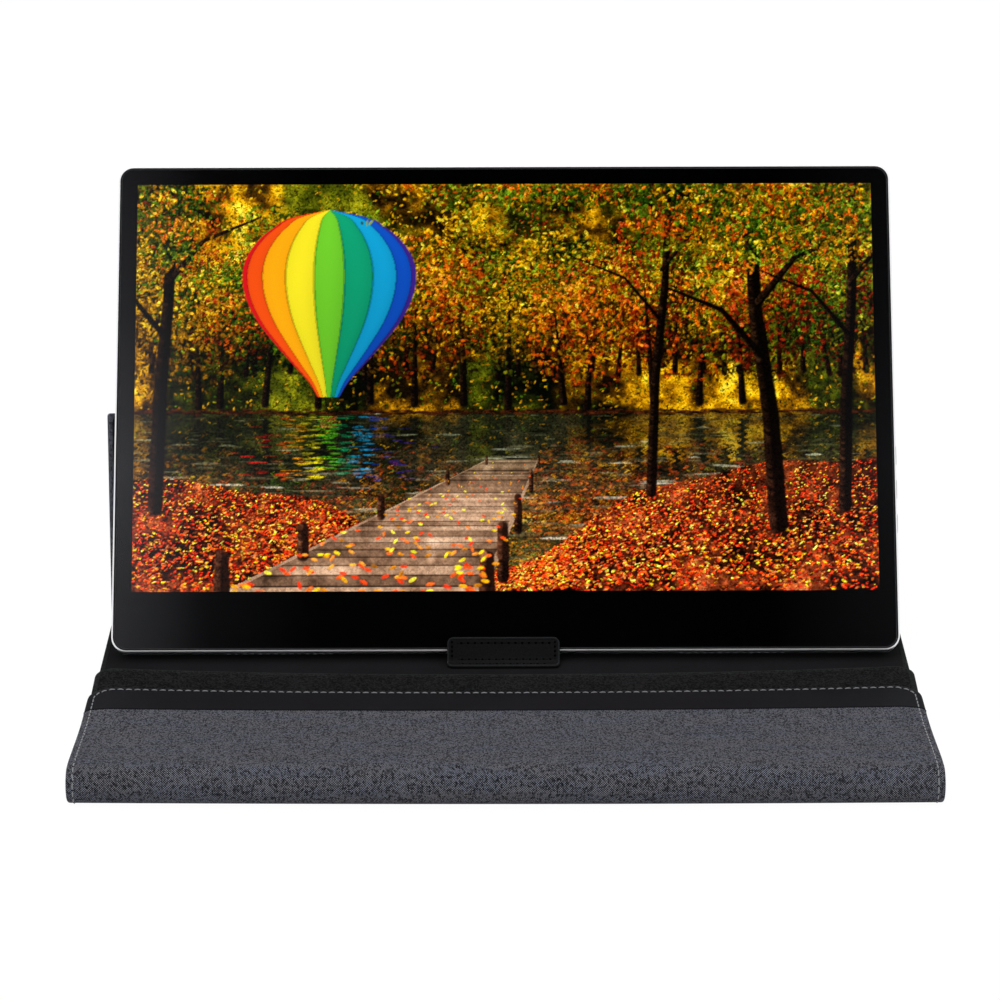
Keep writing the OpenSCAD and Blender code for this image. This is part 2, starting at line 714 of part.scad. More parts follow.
// Round front half with a short straight stretch behind it
module nose_profile(inset, back) {
    intersection() {
        translate([nose_y, nose_r]) circle(r = nose_r - inset);
        translate([nose_y - nose_h, 0]) square(nose_h);
    }
    translate([nose_y, inset]) square([nose_flat + back, nose_h - 2 * inset]);
}

module nose_skin() {
    color("slategray") difference() {
        along_x(cover_w) nose_profile(0, 0);
        along_x(cover_w - 2 * skin_t) nose_profile(skin_t, cut);
    }
}

module nose_core() {
    room = skin_t + lay_gap;
    color([0.3, 0.3, 0.3]) along_x(cover_w - 2 * room) nose_profile(room, 0);
}

// The flap is a panel turned over, with its skin on top
module at_flap() {
    translate([0, flap_front_y, flap_front_z]) rotate([-flap_tilt, 0, 0])
        translate([0, 0, panel_t]) mirror([0, 0, 1]) children();
}

module flap_shell() {
    panel_skin(cover_w, flap_l, crease_corner_r, flap_corner_r);
}

module flap_skin() {
    color("slategray") at_flap() intersection() {
        flap_shell();
        translate([-cover_w, -cut, -cut]) cube([2 * cover_w, flap_l - trim_w + cut, panel_t + 2 * cut]);
    }
}

module flap_trim() {
    color([0.1, 0.1, 0.12]) at_flap() intersection() {
        flap_shell();
        translate([-cover_w, flap_l - trim_w + lay_gap, -cut]) cube([2 * cover_w, trim_w + cut, panel_t + 2 * cut]);
    }
}

module flap_magnet_row(gap) {
    pitch = cover_w / flap_magnet_count;
    room = skin_t + lay_gap;
    for (i = [0 : flap_magnet_count - 1])
        translate([(i - (flap_magnet_count - 1) / 2) * pitch - flap_magnet_l / 2 - gap,
                   flap_l - flap_magnet_in - flap_magnet_w / 2 - gap, room - (gap > 0 ? cut : 0)])
            cube([flap_magnet_l + 2 * gap, flap_magnet_w + 2 * gap,
                  panel_t - 2 * room + (gap > 0 ? 2 * cut : 0)]);
}

module flap_board() {
    color("tan") at_flap() difference() {
        panel_board(cover_w, flap_l, crease_corner_r, flap_corner_r);
        flap_magnet_row(lay_gap);
    }
}

module flap_magnets() {
    color("silver") at_flap() flap_magnet_row(0);
}

module flap_lining() {
    color([0.12, 0.12, 0.13]) at_flap() panel_lining(cover_w, flap_l, crease_corner_r, flap_corner_r);
}

cover_glass();
border_print();
panel_gasket();
display_cell();
light_guide();
led_bar();
panel_tray();
front_frame();
rear_cover();
rear_screws();
main_board();
source_board();
flat_cables();
usb_sockets();
video_socket();
audio_jack();
speakers();
steel_strip();
power_key();
menu_key_up();
menu_key_down();
key_board();
base_skin();
base_board();
base_lining();
rear_crease();
pleat_strip();
tab_foot();
tab_lip();
strut_skin();
strut_board();
strut_lining();
magnet_sleeve();
strut_magnets();
leaf_skin();
leaf_board();
leaf_lining();
nose_skin();
nose_core();
flap_skin();
flap_board();
flap_lining();
flap_trim();
flap_magnets();
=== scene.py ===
# %% [markdown]
# # A portable monitor that stands on its folding cloth cover
# The CAD model gives every rigid part its true size and place. This file loads it as a fixed
# frame and dresses it: the cloth cover is modelled as soft, stitched panels, the screen gets a
# painted landscape behind real glass, and every surface gets its own procedural finish.
# All lengths are metres; X runs along the screen, Y goes to the back and Z is up.

# %% Load the frame
import math
import bpy
import bmesh
import numpy as np
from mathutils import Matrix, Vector


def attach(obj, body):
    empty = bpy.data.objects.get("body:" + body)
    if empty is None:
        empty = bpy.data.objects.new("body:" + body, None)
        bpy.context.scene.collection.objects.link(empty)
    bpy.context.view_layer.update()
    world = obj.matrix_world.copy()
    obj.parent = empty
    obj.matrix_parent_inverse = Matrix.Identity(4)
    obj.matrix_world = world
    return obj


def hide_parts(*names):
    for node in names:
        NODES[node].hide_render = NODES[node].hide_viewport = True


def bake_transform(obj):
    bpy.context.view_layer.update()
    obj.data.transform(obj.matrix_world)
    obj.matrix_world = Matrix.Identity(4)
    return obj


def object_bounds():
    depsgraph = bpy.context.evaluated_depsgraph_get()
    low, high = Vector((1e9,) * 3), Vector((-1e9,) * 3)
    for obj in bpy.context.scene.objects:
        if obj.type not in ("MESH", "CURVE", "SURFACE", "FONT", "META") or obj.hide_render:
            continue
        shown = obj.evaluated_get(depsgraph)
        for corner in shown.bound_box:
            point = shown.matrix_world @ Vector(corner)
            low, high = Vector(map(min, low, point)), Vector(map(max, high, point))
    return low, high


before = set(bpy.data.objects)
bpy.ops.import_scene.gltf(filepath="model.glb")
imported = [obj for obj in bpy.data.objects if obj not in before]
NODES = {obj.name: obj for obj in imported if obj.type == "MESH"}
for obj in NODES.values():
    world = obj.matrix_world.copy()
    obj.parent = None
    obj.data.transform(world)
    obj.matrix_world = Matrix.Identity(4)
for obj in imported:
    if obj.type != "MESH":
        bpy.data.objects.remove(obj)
CAD_BOX = [[float(v) for v in corner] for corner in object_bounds()]
MM = 0.001
scene = bpy.context.scene

# %% [markdown]
# ## The camera
# A long lens from about 1.7 m away, looking 21 degrees down: that is where the screen's and the
# cover's edges converge as they should. The tiny roll levels the base as in the photograph.

# %% Camera
def place_object(name, data):
    obj = bpy.data.objects.new(name, data)
    scene.collection.objects.link(obj)
    return obj


PITCH, ROLL = 21.3, -0.16
lens = bpy.data.cameras.new("camera")
lens.sensor_width, lens.lens, lens.clip_end = 36.0, 129.6, 50.0
camera = place_object("camera", lens)
camera.location = (-1.9 * MM, -1521 * MM, 671.8 * MM)
camera.rotation_euler = (math.radians(90 - PITCH), 0.0, 0.0)
camera.rotation_euler.rotate_axis("Z", math.radians(ROLL))
scene.camera = camera
scene.view_settings.view_transform = "Standard"
print("camera at", [round(v, 4) for v in camera.location])

# %% [markdown]
# ## Materials
# Each finish is a small node tree. The helpers below keep the trees short: `new_material` starts
# one from the Principled shader, `add` makes a node, and `feed` links a socket or sets its value.

# %% Node helpers
def new_material(name, **values):
    """A value's name is its socket's, with _ for a space."""
    material = bpy.data.materials.new(name)
    material.use_nodes = True
    shader = material.node_tree.nodes["Principled BSDF"]
    for socket, value in values.items():
        shader.inputs[socket.replace("_", " ")].default_value = value
    return material, material.node_tree, shader


def feed(tree, socket, value):
    if isinstance(value, bpy.types.NodeSocket):
        tree.links.new(value, socket)
    else:
        socket.default_value = value


def add(tree, kind, inputs=None, **settings):
    node = tree.nodes.new(kind)
    for key, value in settings.items():
        setattr(node, key, value)
    for key, value in (inputs or {}).items():
        feed(tree, node.inputs[key], value)
    return node


def maths(tree, operation, *values):
    return add(tree, "ShaderNodeMath", dict(enumerate(values)), operation=operation).outputs[0]


def scaled(tree, value, factor, shift=0.0):
    """value times factor plus shift."""
    return maths(tree, "MULTIPLY_ADD", value, factor, shift)


def vectors(tree, operation, a, b):
    return add(tree, "ShaderNodeVectorMath", {0: a, 1: b}, operation=operation).outputs[0]


def own_place(tree):
    return add(tree, "ShaderNodeTexCoord").outputs["Object"]


def noise(tree, place, scale, detail, output=0):
    return add(tree, "ShaderNodeTexNoise", {"Vector": place, "Scale": scale, "Detail": detail}).outputs[output]


def cell_shade(tree, place, scale):
    """A random value for every cell of about 1 / scale metres."""
    cells = add(tree, "ShaderNodeTexVoronoi", {"Vector": place, "Scale": scale}).outputs["Color"]
    return add(tree, "ShaderNodeSeparateColor", {0: cells}).outputs[0]


def blend_colours(tree, factor, a, b, mode="MIX"):
    return add(tree, "ShaderNodeMix", {0: factor, 6: a, 7: b}, data_type="RGBA", blend_type=mode).outputs[2]


def ramp(tree, factor, *stops):
    node = add(tree, "ShaderNodeValToRGB", {0: factor})
    elements = node.color_ramp.elements
    while len(elements) < len(stops):
        elements.new(0.5)
    for element, (place, colour) in zip(elements, stops):
        element.position = place
        element.color = colour if len(colour) == 4 else (*colour, 1.0)
    return node.outputs[0]


def bump(tree, shader, height, distance, strength):
    node = add(tree, "ShaderNodeBump", {"Height": height, "Distance": distance, "Strength": strength})
    feed(tree, shader.inputs["Normal"], node.outputs[0])


def grey(level):
    return (level, level, level, 1.0)


def srgb(r, g, b):
    """A colour as seen on the screen, 0 to 255, as the linear values that a shader takes."""
    seen = (r / 255, g / 255, b / 255)
    return (*(v / 12.92 if v <= 0.04045 else ((v + 0.055) / 1.055) ** 2.4 for v in seen), 1.0)


def shades(colour, low, high):
    return [tuple(min(c * factor, 1.0) for c in colour[:3]) for factor in (low, high)]

# %% [markdown]
# ### Heather cloth
# The outside of the cover is a plain weave: pale yarns run along the flap and cross dark yarns,
# each about 0.51 mm wide. Where the whole-number steps of the two directions add up to an odd
# number, the pale yarn is on top, and where they add up to an even number, the dark one. Every
# yarn is a little thicker and paler in places, and small slanting tufts are darker, which gives
# the cloth its mottled look. The pattern reads the UV map, which unrolls each cloth piece in
# metres, so that the weave follows the fold of the nose without stretching.

# %% Heather cloth
YARN = 0.51 * MM


def heather_cloth(name, pale, dark, tint_a, tint_b):
    material, tree, shader = new_material(name, Roughness=0.9, Specular_IOR_Level=0.12)
    uv = add(tree, "ShaderNodeUVMap").outputs[0]
    wander = vectors(tree, "MULTIPLY", noise(tree, uv, 330.0, 1.0, "Color"), (0.16 * MM,) * 3)
    parts = add(tree, "ShaderNodeSeparateXYZ", {0: vectors(tree, "ADD", uv, wander)})
    u, v = (maths(tree, "DIVIDE", parts.outputs[k], YARN) for k in (0, 1))
    steps = maths(tree, "ADD", maths(tree, "FLOOR", u), maths(tree, "FLOOR", v))
    parity = maths(tree, "PINGPONG", steps, 1.0)
    across_u, across_v = (maths(tree, "ABSOLUTE", maths(tree, "SINE", maths(tree, "MULTIPLY", w, math.pi)))
                          for w in (u, v))
    warp = maths(tree, "MULTIPLY", across_u, maths(tree, "POWER", across_v, 0.35))
    weft = maths(tree, "MULTIPLY", across_v, maths(tree, "POWER", across_u, 0.35))
    height = add(tree, "ShaderNodeMix", {0: parity, 2: weft, 3: warp}).outputs[0]

    def slubs(scale_u, scale_v, detail=2.0):
        return noise(tree, vectors(tree, "MULTIPLY", uv, (scale_u, scale_v, 1.0)), 1.0, detail)

    slants = [maths(tree, "FLOOR", scaled(tree, v, slant, maths(tree, "MULTIPLY", u, 0.56)))
              for slant in (0.44, -0.44)]
    tuft = add(tree, "ShaderNodeCombineXYZ", dict(enumerate(slants))).outputs[0]
    speck = add(tree, "ShaderNodeTexWhiteNoise", {"Vector": tuft}, noise_dimensions="2D").outputs[0]
    # 0.5 is the mean of each noise, so the streaks and patches vary round 0 and the tufts round -0.1
    tone = scaled(tree, slubs(70.0, 1000.0), 1.3, -0.65)
    for layer, share, shift in ((slubs(1000.0, 90.0), 0.9, -0.45), (slubs(40.0, 120.0, 3.0), 0.5, -0.25),
                                (speck, 2.3, -1.25)):
        tone = maths(tree, "ADD", tone, scaled(tree, layer, share, shift))
    level = scaled(tree, tone, 0.55, scaled(tree, parity, 1.3, -0.45))
    level = maths(tree, "ADD", level, scaled(tree, height, 0.34, -0.2))
    half_dark = tuple(0.72 * d + 0.28 * l for d, l in zip(dark, pale))
    colour = ramp(tree, level, (0.0, dark), (0.32, half_dark), (1.0, pale))
    stripes = ramp(tree, slubs(26.0, 110.0), (0.38, grey(0.0)), (0.62, grey(1.0)))
    hue = blend_colours(tree, stripes, tint_a, tint_b)
    feed(tree, shader.inputs["Base Color"], blend_colours(tree, 1.0, colour, hue, "MULTIPLY"))
    bump(tree, shader, height, 0.09 * MM, 0.8)
    return material


CLOTH = heather_cloth("heather_cloth", srgb(128, 128, 136)[:3], srgb(6, 6, 9)[:3],
                      (0.95, 0.99, 1.07, 1.0), (1.0, 1.0, 0.99, 1.0))
print("cloth yarn pitch in mm:", YARN / MM)

# %% [markdown]
# ### Black microfibre, its edging, and smooth coated trim
# The inside of the cover is a brushed microfibre. It has almost no highlight, only a soft haze
# that the sheen layer gives, and a very fine speckle. The trim strip and the leather tab are
# smoother: their look comes from a low, broad highlight and a grain made by a Voronoi texture.

# %% Lining, edging, trim and leather
def napped(name, colour, speckle, scale=2600.0, tufts=0.0, sheen=0.02, specular=0.03):
    material, tree, shader = new_material(name, Roughness=0.95, Sheen_Weight=sheen, Sheen_Roughness=0.5,
                                          Specular_IOR_Level=specular)
    place = own_place(tree)
    fine, broad = noise(tree, place, scale, 2.0), noise(tree, place, 45.0, 3.0)
    tone = maths(tree, "ADD", maths(tree, "MULTIPLY", fine, 0.7), maths(tree, "MULTIPLY", broad, 0.3))
    if tufts:  # cells about 0.7 mm wide
        tone = maths(tree, "ADD", tone, scaled(tree, cell_shade(tree, place, 1450.0), tufts, -0.5 * tufts))
    low, high = shades(colour, 1 - speckle, 1 + speckle)
    feed(tree, shader.inputs["Base Color"], ramp(tree, tone, (0.35, low), (0.65, high)))
    bump(tree, shader, fine, 0.12 * MM, 0.5)
    return material


def coated(name, colour, roughness, grain, depth, mottle=0.0):
    material, tree, shader = new_material(name, Specular_IOR_Level=0.05)
    place = own_place(tree)
    cells = add(tree, "ShaderNodeTexVoronoi", {"Vector": place, "Scale": grain},
                feature="DISTANCE_TO_EDGE").outputs[0]
    pores = noise(tree, place, grain * 2.3, 3.0)
    height = maths(tree, "ADD", maths(tree, "MINIMUM", cells, 0.25), maths(tree, "MULTIPLY", pores, 0.3))
    patches = scaled(tree, pores, mottle, scaled(tree, noise(tree, place, 22.0, 2.0), 1 - mottle))
    low, high = shades(colour, 0.8 - 0.5 * mottle, 1.2 + 0.9 * mottle)
    feed(tree, shader.inputs["Base Color"], ramp(tree, patches, (0.3, low), (0.7, high)))
    feed(tree, shader.inputs["Roughness"], scaled(tree, pores, 0.12, roughness - 0.06))
    bump(tree, shader, height, depth, 0.6)
    return material


LINING = napped("microfibre_lining", srgb(22, 22, 24), 0.3)
LEAF_LINING = napped("microfibre_leaf_lining", srgb(23, 23, 24), 0.85, 1500.0, 0.45)
EDGING = napped("edging", srgb(33, 34, 34), 0.5, 1500.0, 0.3)
BACKING = napped("hinge_cloth", srgb(28, 28, 31), 0.2)
# painted shade: the dark inside a needle hole, put on a low near-black dome
HOLE_SHADE = napped("painted_hole_shade", grey(0.0002), 0.3, sheen=0.0, specular=0.0)
TRIM = coated("smooth_trim", srgb(16, 17, 21), 0.6, 900.0, 0.03 * MM)
LEATHER = coated("leather", srgb(18, 18, 19), 0.6, 800.0, 0.2 * MM, 0.6)
LEATHER_EDGE = coated("leather_edge", srgb(31, 32, 33), 0.5, 800.0, 0.2 * MM, 0.7)

# %% [markdown]
# ### Metal, glass and plastics
# The housing is silver aluminium: satin on the back, and polished on the rim, which is rounded and
# picks up the white surroundings; part of the rim's thin bright line is a painted highlight, from a
# near-white share that is not metal. The cover glass is clear; the black border is a printed film
# behind it, so it keeps the depth of real glass.

# %% Metal, glass and the small parts
def metal(name, colour, roughness, grain=0.0, metallic=1.0):
    material, tree, shader = new_material(name, Metallic=metallic, Base_Color=(*colour, 1.0))
    grains = noise(tree, own_place(tree), 1800.0, 2.0)
    feed(tree, shader.inputs["Roughness"], scaled(tree, grains, 0.14, roughness - 0.07))
    if grain:
        bump(tree, shader, grains, grain, 0.4)
    return material


def plastic(name, colour, roughness, **values):
    material, tree, shader = new_material(name, Roughness=roughness, **values)
    grains = noise(tree, own_place(tree), 900.0, 3.0)
    low, high = shades(colour, 0.88, 1.12)
    feed(tree, shader.inputs["Base Color"], ramp(tree, grains, (0.35, low), (0.65, high)))
    bump(tree, shader, grains, 0.02 * MM, 0.4)
    return material


# partly a painted highlight: 40 % of the rim is a near-white non-metal, which looks bright whatever it reflects
RIM = metal("polished_rim_painted_highlight", (0.97, 0.97, 0.98), 0.4, metallic=0.6)
SATIN = metal("satin_back", (0.50, 0.51, 0.53), 0.45, 0.01 * MM)
STEEL = metal("steel", (0.55, 0.55, 0.57), 0.3)
MAGNET = metal("plated_magnet", (0.6, 0.6, 0.61), 0.25)
INK = plastic("border_ink", (0.0006, 0.0006, 0.0008), 0.9, Specular_IOR_Level=0.0)
BLACK = plastic("black_plastic", srgb(24, 24, 26), 0.5)
FOAM = plastic("foam", srgb(40, 40, 42), 0.95)
BOARD = plastic("stiff_board", srgb(150, 142, 128), 0.9)
SOLDER_MASK = plastic("circuit_board", srgb(16, 82, 52), 0.45)
RIBBON = plastic("flex_cable", srgb(168, 104, 36), 0.4)
LED_BODY = plastic("led", srgb(230, 224, 180), 0.4)
CLEAR = plastic("clear_guide", srgb(222, 228, 232), 0.15)
# a painted glint: a grey ring put on the edge of the glass, where a thin light line shows
EDGE_GLINT = plastic("painted_glass_edge_glint", srgb(66, 67, 70), 0.6)
# a black seal; its near-black also paints the shade of the gap between the glass and the rim
BEAD_AND_GAP_SHADE = plastic("black_bead_and_gap_shade", srgb(5, 5, 6), 0.8)
GLASS = new_material("cover_glass", Base_Color=grey(1.0), Roughness=0.0, IOR=1.5, Transmission_Weight=1.0)[0]

FINISHES = (
    (GLASS, "cover_glass"), (INK, "border_print"), (FOAM, "panel_gasket nose_core"), (CLEAR, "light_guide"),
    (LED_BODY, "led_bar"), (STEEL, "panel_tray rear_screws usb_sockets video_socket steel_strip"),
    (RIM, "front_frame"), (SATIN, "rear_cover power_key menu_key_up menu_key_down"),
    (SOLDER_MASK, "main_board source_board key_board"), (RIBBON, "flat_cables"), (BLACK, "audio_jack speakers"),
    (BOARD, "base_board strut_board leaf_board flap_board"), (MAGNET, "strut_magnets flap_magnets"),
)
for finish, node_names in FINISHES:
    for node_name in node_names.split():
        mesh = NODES[node_name].data
        mesh.materials.clear()
        mesh.materials.append(finish)
# the frame's faces towards the front take the rim finish with its painted highlight; its side walls are satin like
# the back
LEAN = math.radians(31.7)
frame_mesh = NODES["front_frame"].data
frame_mesh.materials.append(SATIN)
facing = NODES["front_frame"].matrix_world.to_3x3()
for polygon in frame_mesh.polygons:
    n = facing @ polygon.normal
    polygon.material_index = int(-math.cos(LEAN) * n.y + math.sin(LEAN) * n.z < 0.3)
print("kinds of finish on CAD nodes:", len(FINISHES))

# %% [markdown]
# ## Soft panels
# A covered panel is a board with cloth glued round it. Seen from above it is a rectangle with
# round corners, and its edge has a soft section. `ring_panel` builds exactly that: it walks the
# outline at a list of insets, joins the rings, and closes both faces at the centre line. A last
# function places the points, so the same panel can lie flat, stand up or sag.

# %% Ring panel
def outline_ring(w, y0, y1, r0, r1, inset, per_corner, step):
    """A rectangle's outline, pulled in by inset; r0 rounds its corners at y0 and r1 those at y1."""
    arcs = []
    for side, back, first in ((-1, 0, 180), (1, 0, 270), (1, 1, 0), (-1, 1, 90)):
        r = r1 if back else r0
        bend, left = max(r, inset), max(r - inset, 0.0)
        cx = side * (w / 2 - bend)
        cy = y1 - bend if back else y0 + bend
        turns = [math.radians(first + 90 * i / per_corner) for i in range(per_corner + 1)]
        arcs.append([(cx + left * math.cos(a), cy + left * math.sin(a)) for a in turns])
    counts = [max(2, round(w / step)), max(2, round((y1 - y0) / step))] * 2
    points = []
    for k in range(4):
        points += arcs[k]
        (ax, ay), (bx, by) = arcs[k][-1], arcs[(k + 1) % 4][0]
        points += [(ax + (bx - ax) * i / counts[k], ay + (by - ay) * i / counts[k])
                   for i in range(1, counts[k])]
    return points


def insets_to_centre(start, end, step):
    n = max(1, math.ceil((end - start) / step))
    return [start + (end - start) * i / n for i in range(1, n + 1)]


def edit_mesh(mesh, *steps):
    """Runs steps on the mesh as a bmesh."""
    work = bmesh.new()
    work.from_mesh(mesh)
    for step in steps:
        step(work)
    work.to_mesh(mesh)
    work.free()


def turn_outward(work):
    bmesh.ops.recalc_face_normals(work, faces=work.faces)


def cut_wide_faces(work):
    bmesh.ops.triangulate(work, faces=[f for f in work.faces if len(f.verts) > 4])


def merge_doubles(work):
    bmesh.ops.remove_doubles(work, verts=work.verts, dist=2e-6)
    bmesh.ops.dissolve_degenerate(work, edges=work.edges, dist=1e-7)


def plain_mesh(name, points, faces):
    mesh = bpy.data.meshes.new(name)
    mesh.from_pydata([tuple(p) for p in points], [], faces)
    return mesh


def finish_mesh(name, points, faces, uvs, materials, face_material, smooth_angle=50):
    """One object from points, faces and one UV pair per point; doubles merged, normals outward."""
    mesh = plain_mesh(name, points, faces)
    layer = mesh.uv_layers.new(name="UVMap")
    corner_points = np.empty(len(mesh.loops), int)
    mesh.loops.foreach_get("vertex_index", corner_points)
    layer.data.foreach_set("uv", np.asarray(uvs, np.float32)[corner_points].ravel())
    for material in materials:
        mesh.materials.append(material)
    mesh.polygons.foreach_set("material_index", np.asarray(face_material, np.int32))
    edit_mesh(mesh, merge_doubles, turn_outward)
    mesh.set_sharp_from_angle(angle=math.radians(smooth_angle))
    mesh.polygons.foreach_set("use_smooth", [True] * len(mesh.polygons))
    return place_object(name, mesh)


def bands(rows, n, wrap=0):
    """Faces between rows of n points, each row a closed loop; wrap=1 joins the last row with the first."""
    return [(i * n + j, i * n + (j + 1) % n, (i + 1) % rows * n + (j + 1) % n, (i + 1) % rows * n + j)
            for i in range(rows - 1 + wrap) for j in range(n)]


def ring_panel(name, w, y0, y1, r0, r1, section, place, materials, per_corner=8, step=5 * MM):
    """section: (inset, height, material) from the underside's centre, round the edge, to the top's centre."""
    rings = [outline_ring(w, y0, y1, r0, r1, d, per_corner, step) for d, _, _ in section]
    points = np.array([(x, y, z) for (_, z, _), ring in zip(section, rings) for x, y in ring])
    kinds = [kind for _, _, kind in section[1:] for _ in rings[0]]
    obj = finish_mesh(name, place(points), bands(len(rings), len(rings[0])), points[:, :2], materials, kinds)
    print(name, "faces:", len(obj.data.polygons))
    return obj

# %% [markdown]
# The panel's section has a rounded edge, a turned border about 2.6 mm wide and a shallow recess
# in which the lining lies. The lining itself is a thin closed sheet with a soft edge. Sections
# are listed in millimetres.

# %% Sections of a covered panel
PANEL_T = 2.8 * MM
LINING_IN = 2.68 * MM


def section(half, under, edge, over, step=6.0):
    """Rows (inset, height, material 0 if unsaid): underside from its centre, edge, and top to its centre."""
    low, high = ([(d, *row[1:]) for d in insets_to_centre(row[0], half, step)] for row in (under, over))
    return [(d * MM, z * MM, kind[0] if kind else 0) for d, z, *kind in low[::-1] + edge + high]


COVER_EDGE = [(4, 0), (2, 0.05), (0.9, 0.22), (0.35, 0.5), (0.06, 0.95), (0, 1.4), (0.06, 1.85), (0.35, 2.3, 1),
              (0.9, 2.6, 1), (1.6, 2.72, 1), (2.3, 2.7, 1), (2.6, 2.48, 1), (2.65, 2.3, 2)]
LINING_EDGE = [(0.6, 2.33), (0.08, 2.33), (0, 2.43), (0.1, 2.58), (0.5, 2.64), (1.4, 2.72)]


def covered_panel(name, w, y0, y1, r0, r1, place, lining, edging=EDGING):
    half = min(w, y1 - y0) / 2
    cloth = ring_panel(name + "_cloth", w, y0, y1, r0, r1,
                       section(half / MM, (4, 0), COVER_EDGE, (2.9, 2.3, 2)), place, [CLOTH, edging, BACKING])
    r0, r1 = (max(r - LINING_IN, 0.3 * MM) for r in (r0, r1))
    sheet = ring_panel(name + "_lining_sheet", w - 2 * LINING_IN, y0 + LINING_IN, y1 - LINING_IN, r0, r1,
                       section((half - LINING_IN) / MM, (0.6, 2.33), LINING_EDGE, (1.4, 2.8)), place, [lining])
    return cloth, sheet

# %% [markdown]
# ## The base panel
# It lies flat on the desk, and the screen stands on it. Its lining shows in front of the screen.

# %% Base panel
COVER_W = 370 * MM


def lie_flat(p):
    return p


base_cloth, base_sheet = covered_panel("base", COVER_W, -48 * MM, 40.55 * MM, 1.5 * MM, 1.5 * MM,
                                       lie_flat, LINING)
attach(base_cloth, "cover_base")
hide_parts("base_skin")
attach(base_sheet, "cover_base")
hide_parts("base_lining")

# %% [markdown]
# ## The leaf
# The leaf folds forward over the base's front end, so its rear edge lies free. It isn't quite
# flat: its ends curl up and its middle sags and bows forward by a few millimetres.

# %% Leaf panel
LEAF = {"front": -143.7 * MM, "z": 0.6 * MM, "tilt": math.radians(2.0), "rear": -28 * MM}
LEAF_L = (LEAF["rear"] - LEAF["front"]) / math.cos(LEAF["tilt"])


def ease(t):
    t = np.clip(t, 0.0, 1.0)
    return t * t * (3 - 2 * t)


def lay_leaf(p):
    x, s, h = p.T
    middle = 1 - np.clip(np.abs(x) / (176 * MM), 0, 1) ** 2.2
    to_rear = ease((s - 62 * MM) / (52 * MM))
    y = LEAF["front"] + s * math.cos(LEAF["tilt"]) - h * math.sin(LEAF["tilt"])
    z = LEAF["z"] + s * math.sin(LEAF["tilt"]) + h * math.cos(LEAF["tilt"])
    y = y - 3.2 * MM * middle * to_rear
    z = z - (0.1 * MM + 0.45 * MM * h / PANEL_T) * middle * ease((s - 40 * MM) / (50 * MM))
    z = z + 1.5 * MM * (1 - middle) * to_rear
    return np.column_stack([x, y, z])


leaf_cloth, leaf_sheet = covered_panel("leaf", COVER_W, 0.0, LEAF_L, 1.5 * MM, 8 * MM, lay_leaf, LEAF_LINING)
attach(leaf_cloth, "leaf")
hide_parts("leaf_skin", "leaf_board")
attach(leaf_sheet, "leaf")
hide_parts("leaf_lining")

# %% [markdown]
# ## The strut
# The strut is the same kind of panel, stood on its crease. Its cloth faces the back.

# %% Strut panel
STRUT_LEAN = math.radians(11.27)
CREASE_Y, CREASE_Z = 42 * MM, 1.4 * MM


def stand_strut(p):
    x, s, h = p.T
    along, out = s + 1.45 * MM, PANEL_T / 2 - h
    y = CREASE_Y + along * math.sin(STRUT_LEAN) + out * math.cos(STRUT_LEAN)
    z = CREASE_Z + along * math.cos(STRUT_LEAN) - out * math.sin(STRUT_LEAN)
    return np.column_stack([x - 1.8 * MM, y, z])


strut_cloth, strut_sheet = covered_panel("strut", 367 * MM, 0.0, 97.95 * MM, 1.5 * MM, 1.5 * MM, stand_strut,
                                         LINING, CLOTH)
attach(strut_cloth, "strut")
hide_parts("strut_skin")
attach(strut_sheet, "strut")
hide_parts("strut_lining")

# %% [markdown]
# ## The nose and the flap
# One cloth runs over the flap, round the soft nose and under it. Its section in Y and Z is a
# closed line; `sweep` carries that line along X. Near the ends the section shrinks a little,
# which rounds the side edges, and the flap grows shorter, which rounds its free corners.

# %% Sweep of a section along X
def arc(y, z, r, degrees):
    """Points (y, z) on a circle; 0 degrees is straight up and 90 degrees is towards the back."""
    return [(y + r * math.sin(math.radians(a)), z + r * math.cos(math.radians(a))) for a in degrees]


def outward_normals(line):
    along = np.roll(line, -1, axis=0) - np.roll(line, 1, axis=0)
    along /= np.maximum(np.linalg.norm(along, axis=1, keepdims=True), 1e-12)
    return np.column_stack([along[:, 1], -along[:, 0]])


def end_stations(half, edge, corner, step):
    """X places from -half to half, close together where the side edge and the corners turn."""
    turn = [half - corner + corner * math.sin(math.radians(a)) for a in range(0, 78, 7)]
    lip = [half - edge + edge * math.sin(math.radians(a)) for a in (0, 18, 36, 54, 70, 82, 90)]
    side = list(np.arange(0.0, half - corner, step)) + [x for x in turn if x < half - edge] + lip
    return [-x for x in reversed(side[1:])] + side


def sweep(name, line, stations, edge, shape, material):
    """line: closed section as (y, z) pairs. shape(x, yz) bends it. The UV map unrolls the section."""
    line = np.asarray(line, float)
    ahead = np.roll(line, -1, axis=0)
    if np.sum(line[:, 0] * ahead[:, 1] - ahead[:, 0] * line[:, 1]) < 0:
        line = line[::-1]
    outward, n, half = outward_normals(line), len(line), stations[-1]
    lengths = np.concatenate([[0.0], np.cumsum(np.linalg.norm(np.roll(line, -1, 0) - line, axis=1))])[:n]
    points, uvs = [], []
    for x in stations:
        over = max(abs(x) - (half - edge), 0.0)
        inset = edge - math.sqrt(max(edge * edge - over * over, 0.0))
        points += [(x, y, z) for y, z in shape(x, line - outward * inset)]
        uvs += [(x, s) for s in lengths]
    last = len(points) - n
    faces = bands(len(stations), n) + [tuple(range(n - 1, -1, -1)), tuple(range(last, last + n))]
    obj = finish_mesh(name, points, faces, uvs, [material], [0] * len(faces), 60)
    edit_mesh(obj.data, cut_wide_faces)
    print(name, "faces:", len(obj.data.polygons))
    return obj

# %% [markdown]
# The flap's top is a gentle hollow. At its sides it lies a little higher than in the middle, as
# the light on the trim's edge shows. The numbers are heights over the desk at distances in Y.

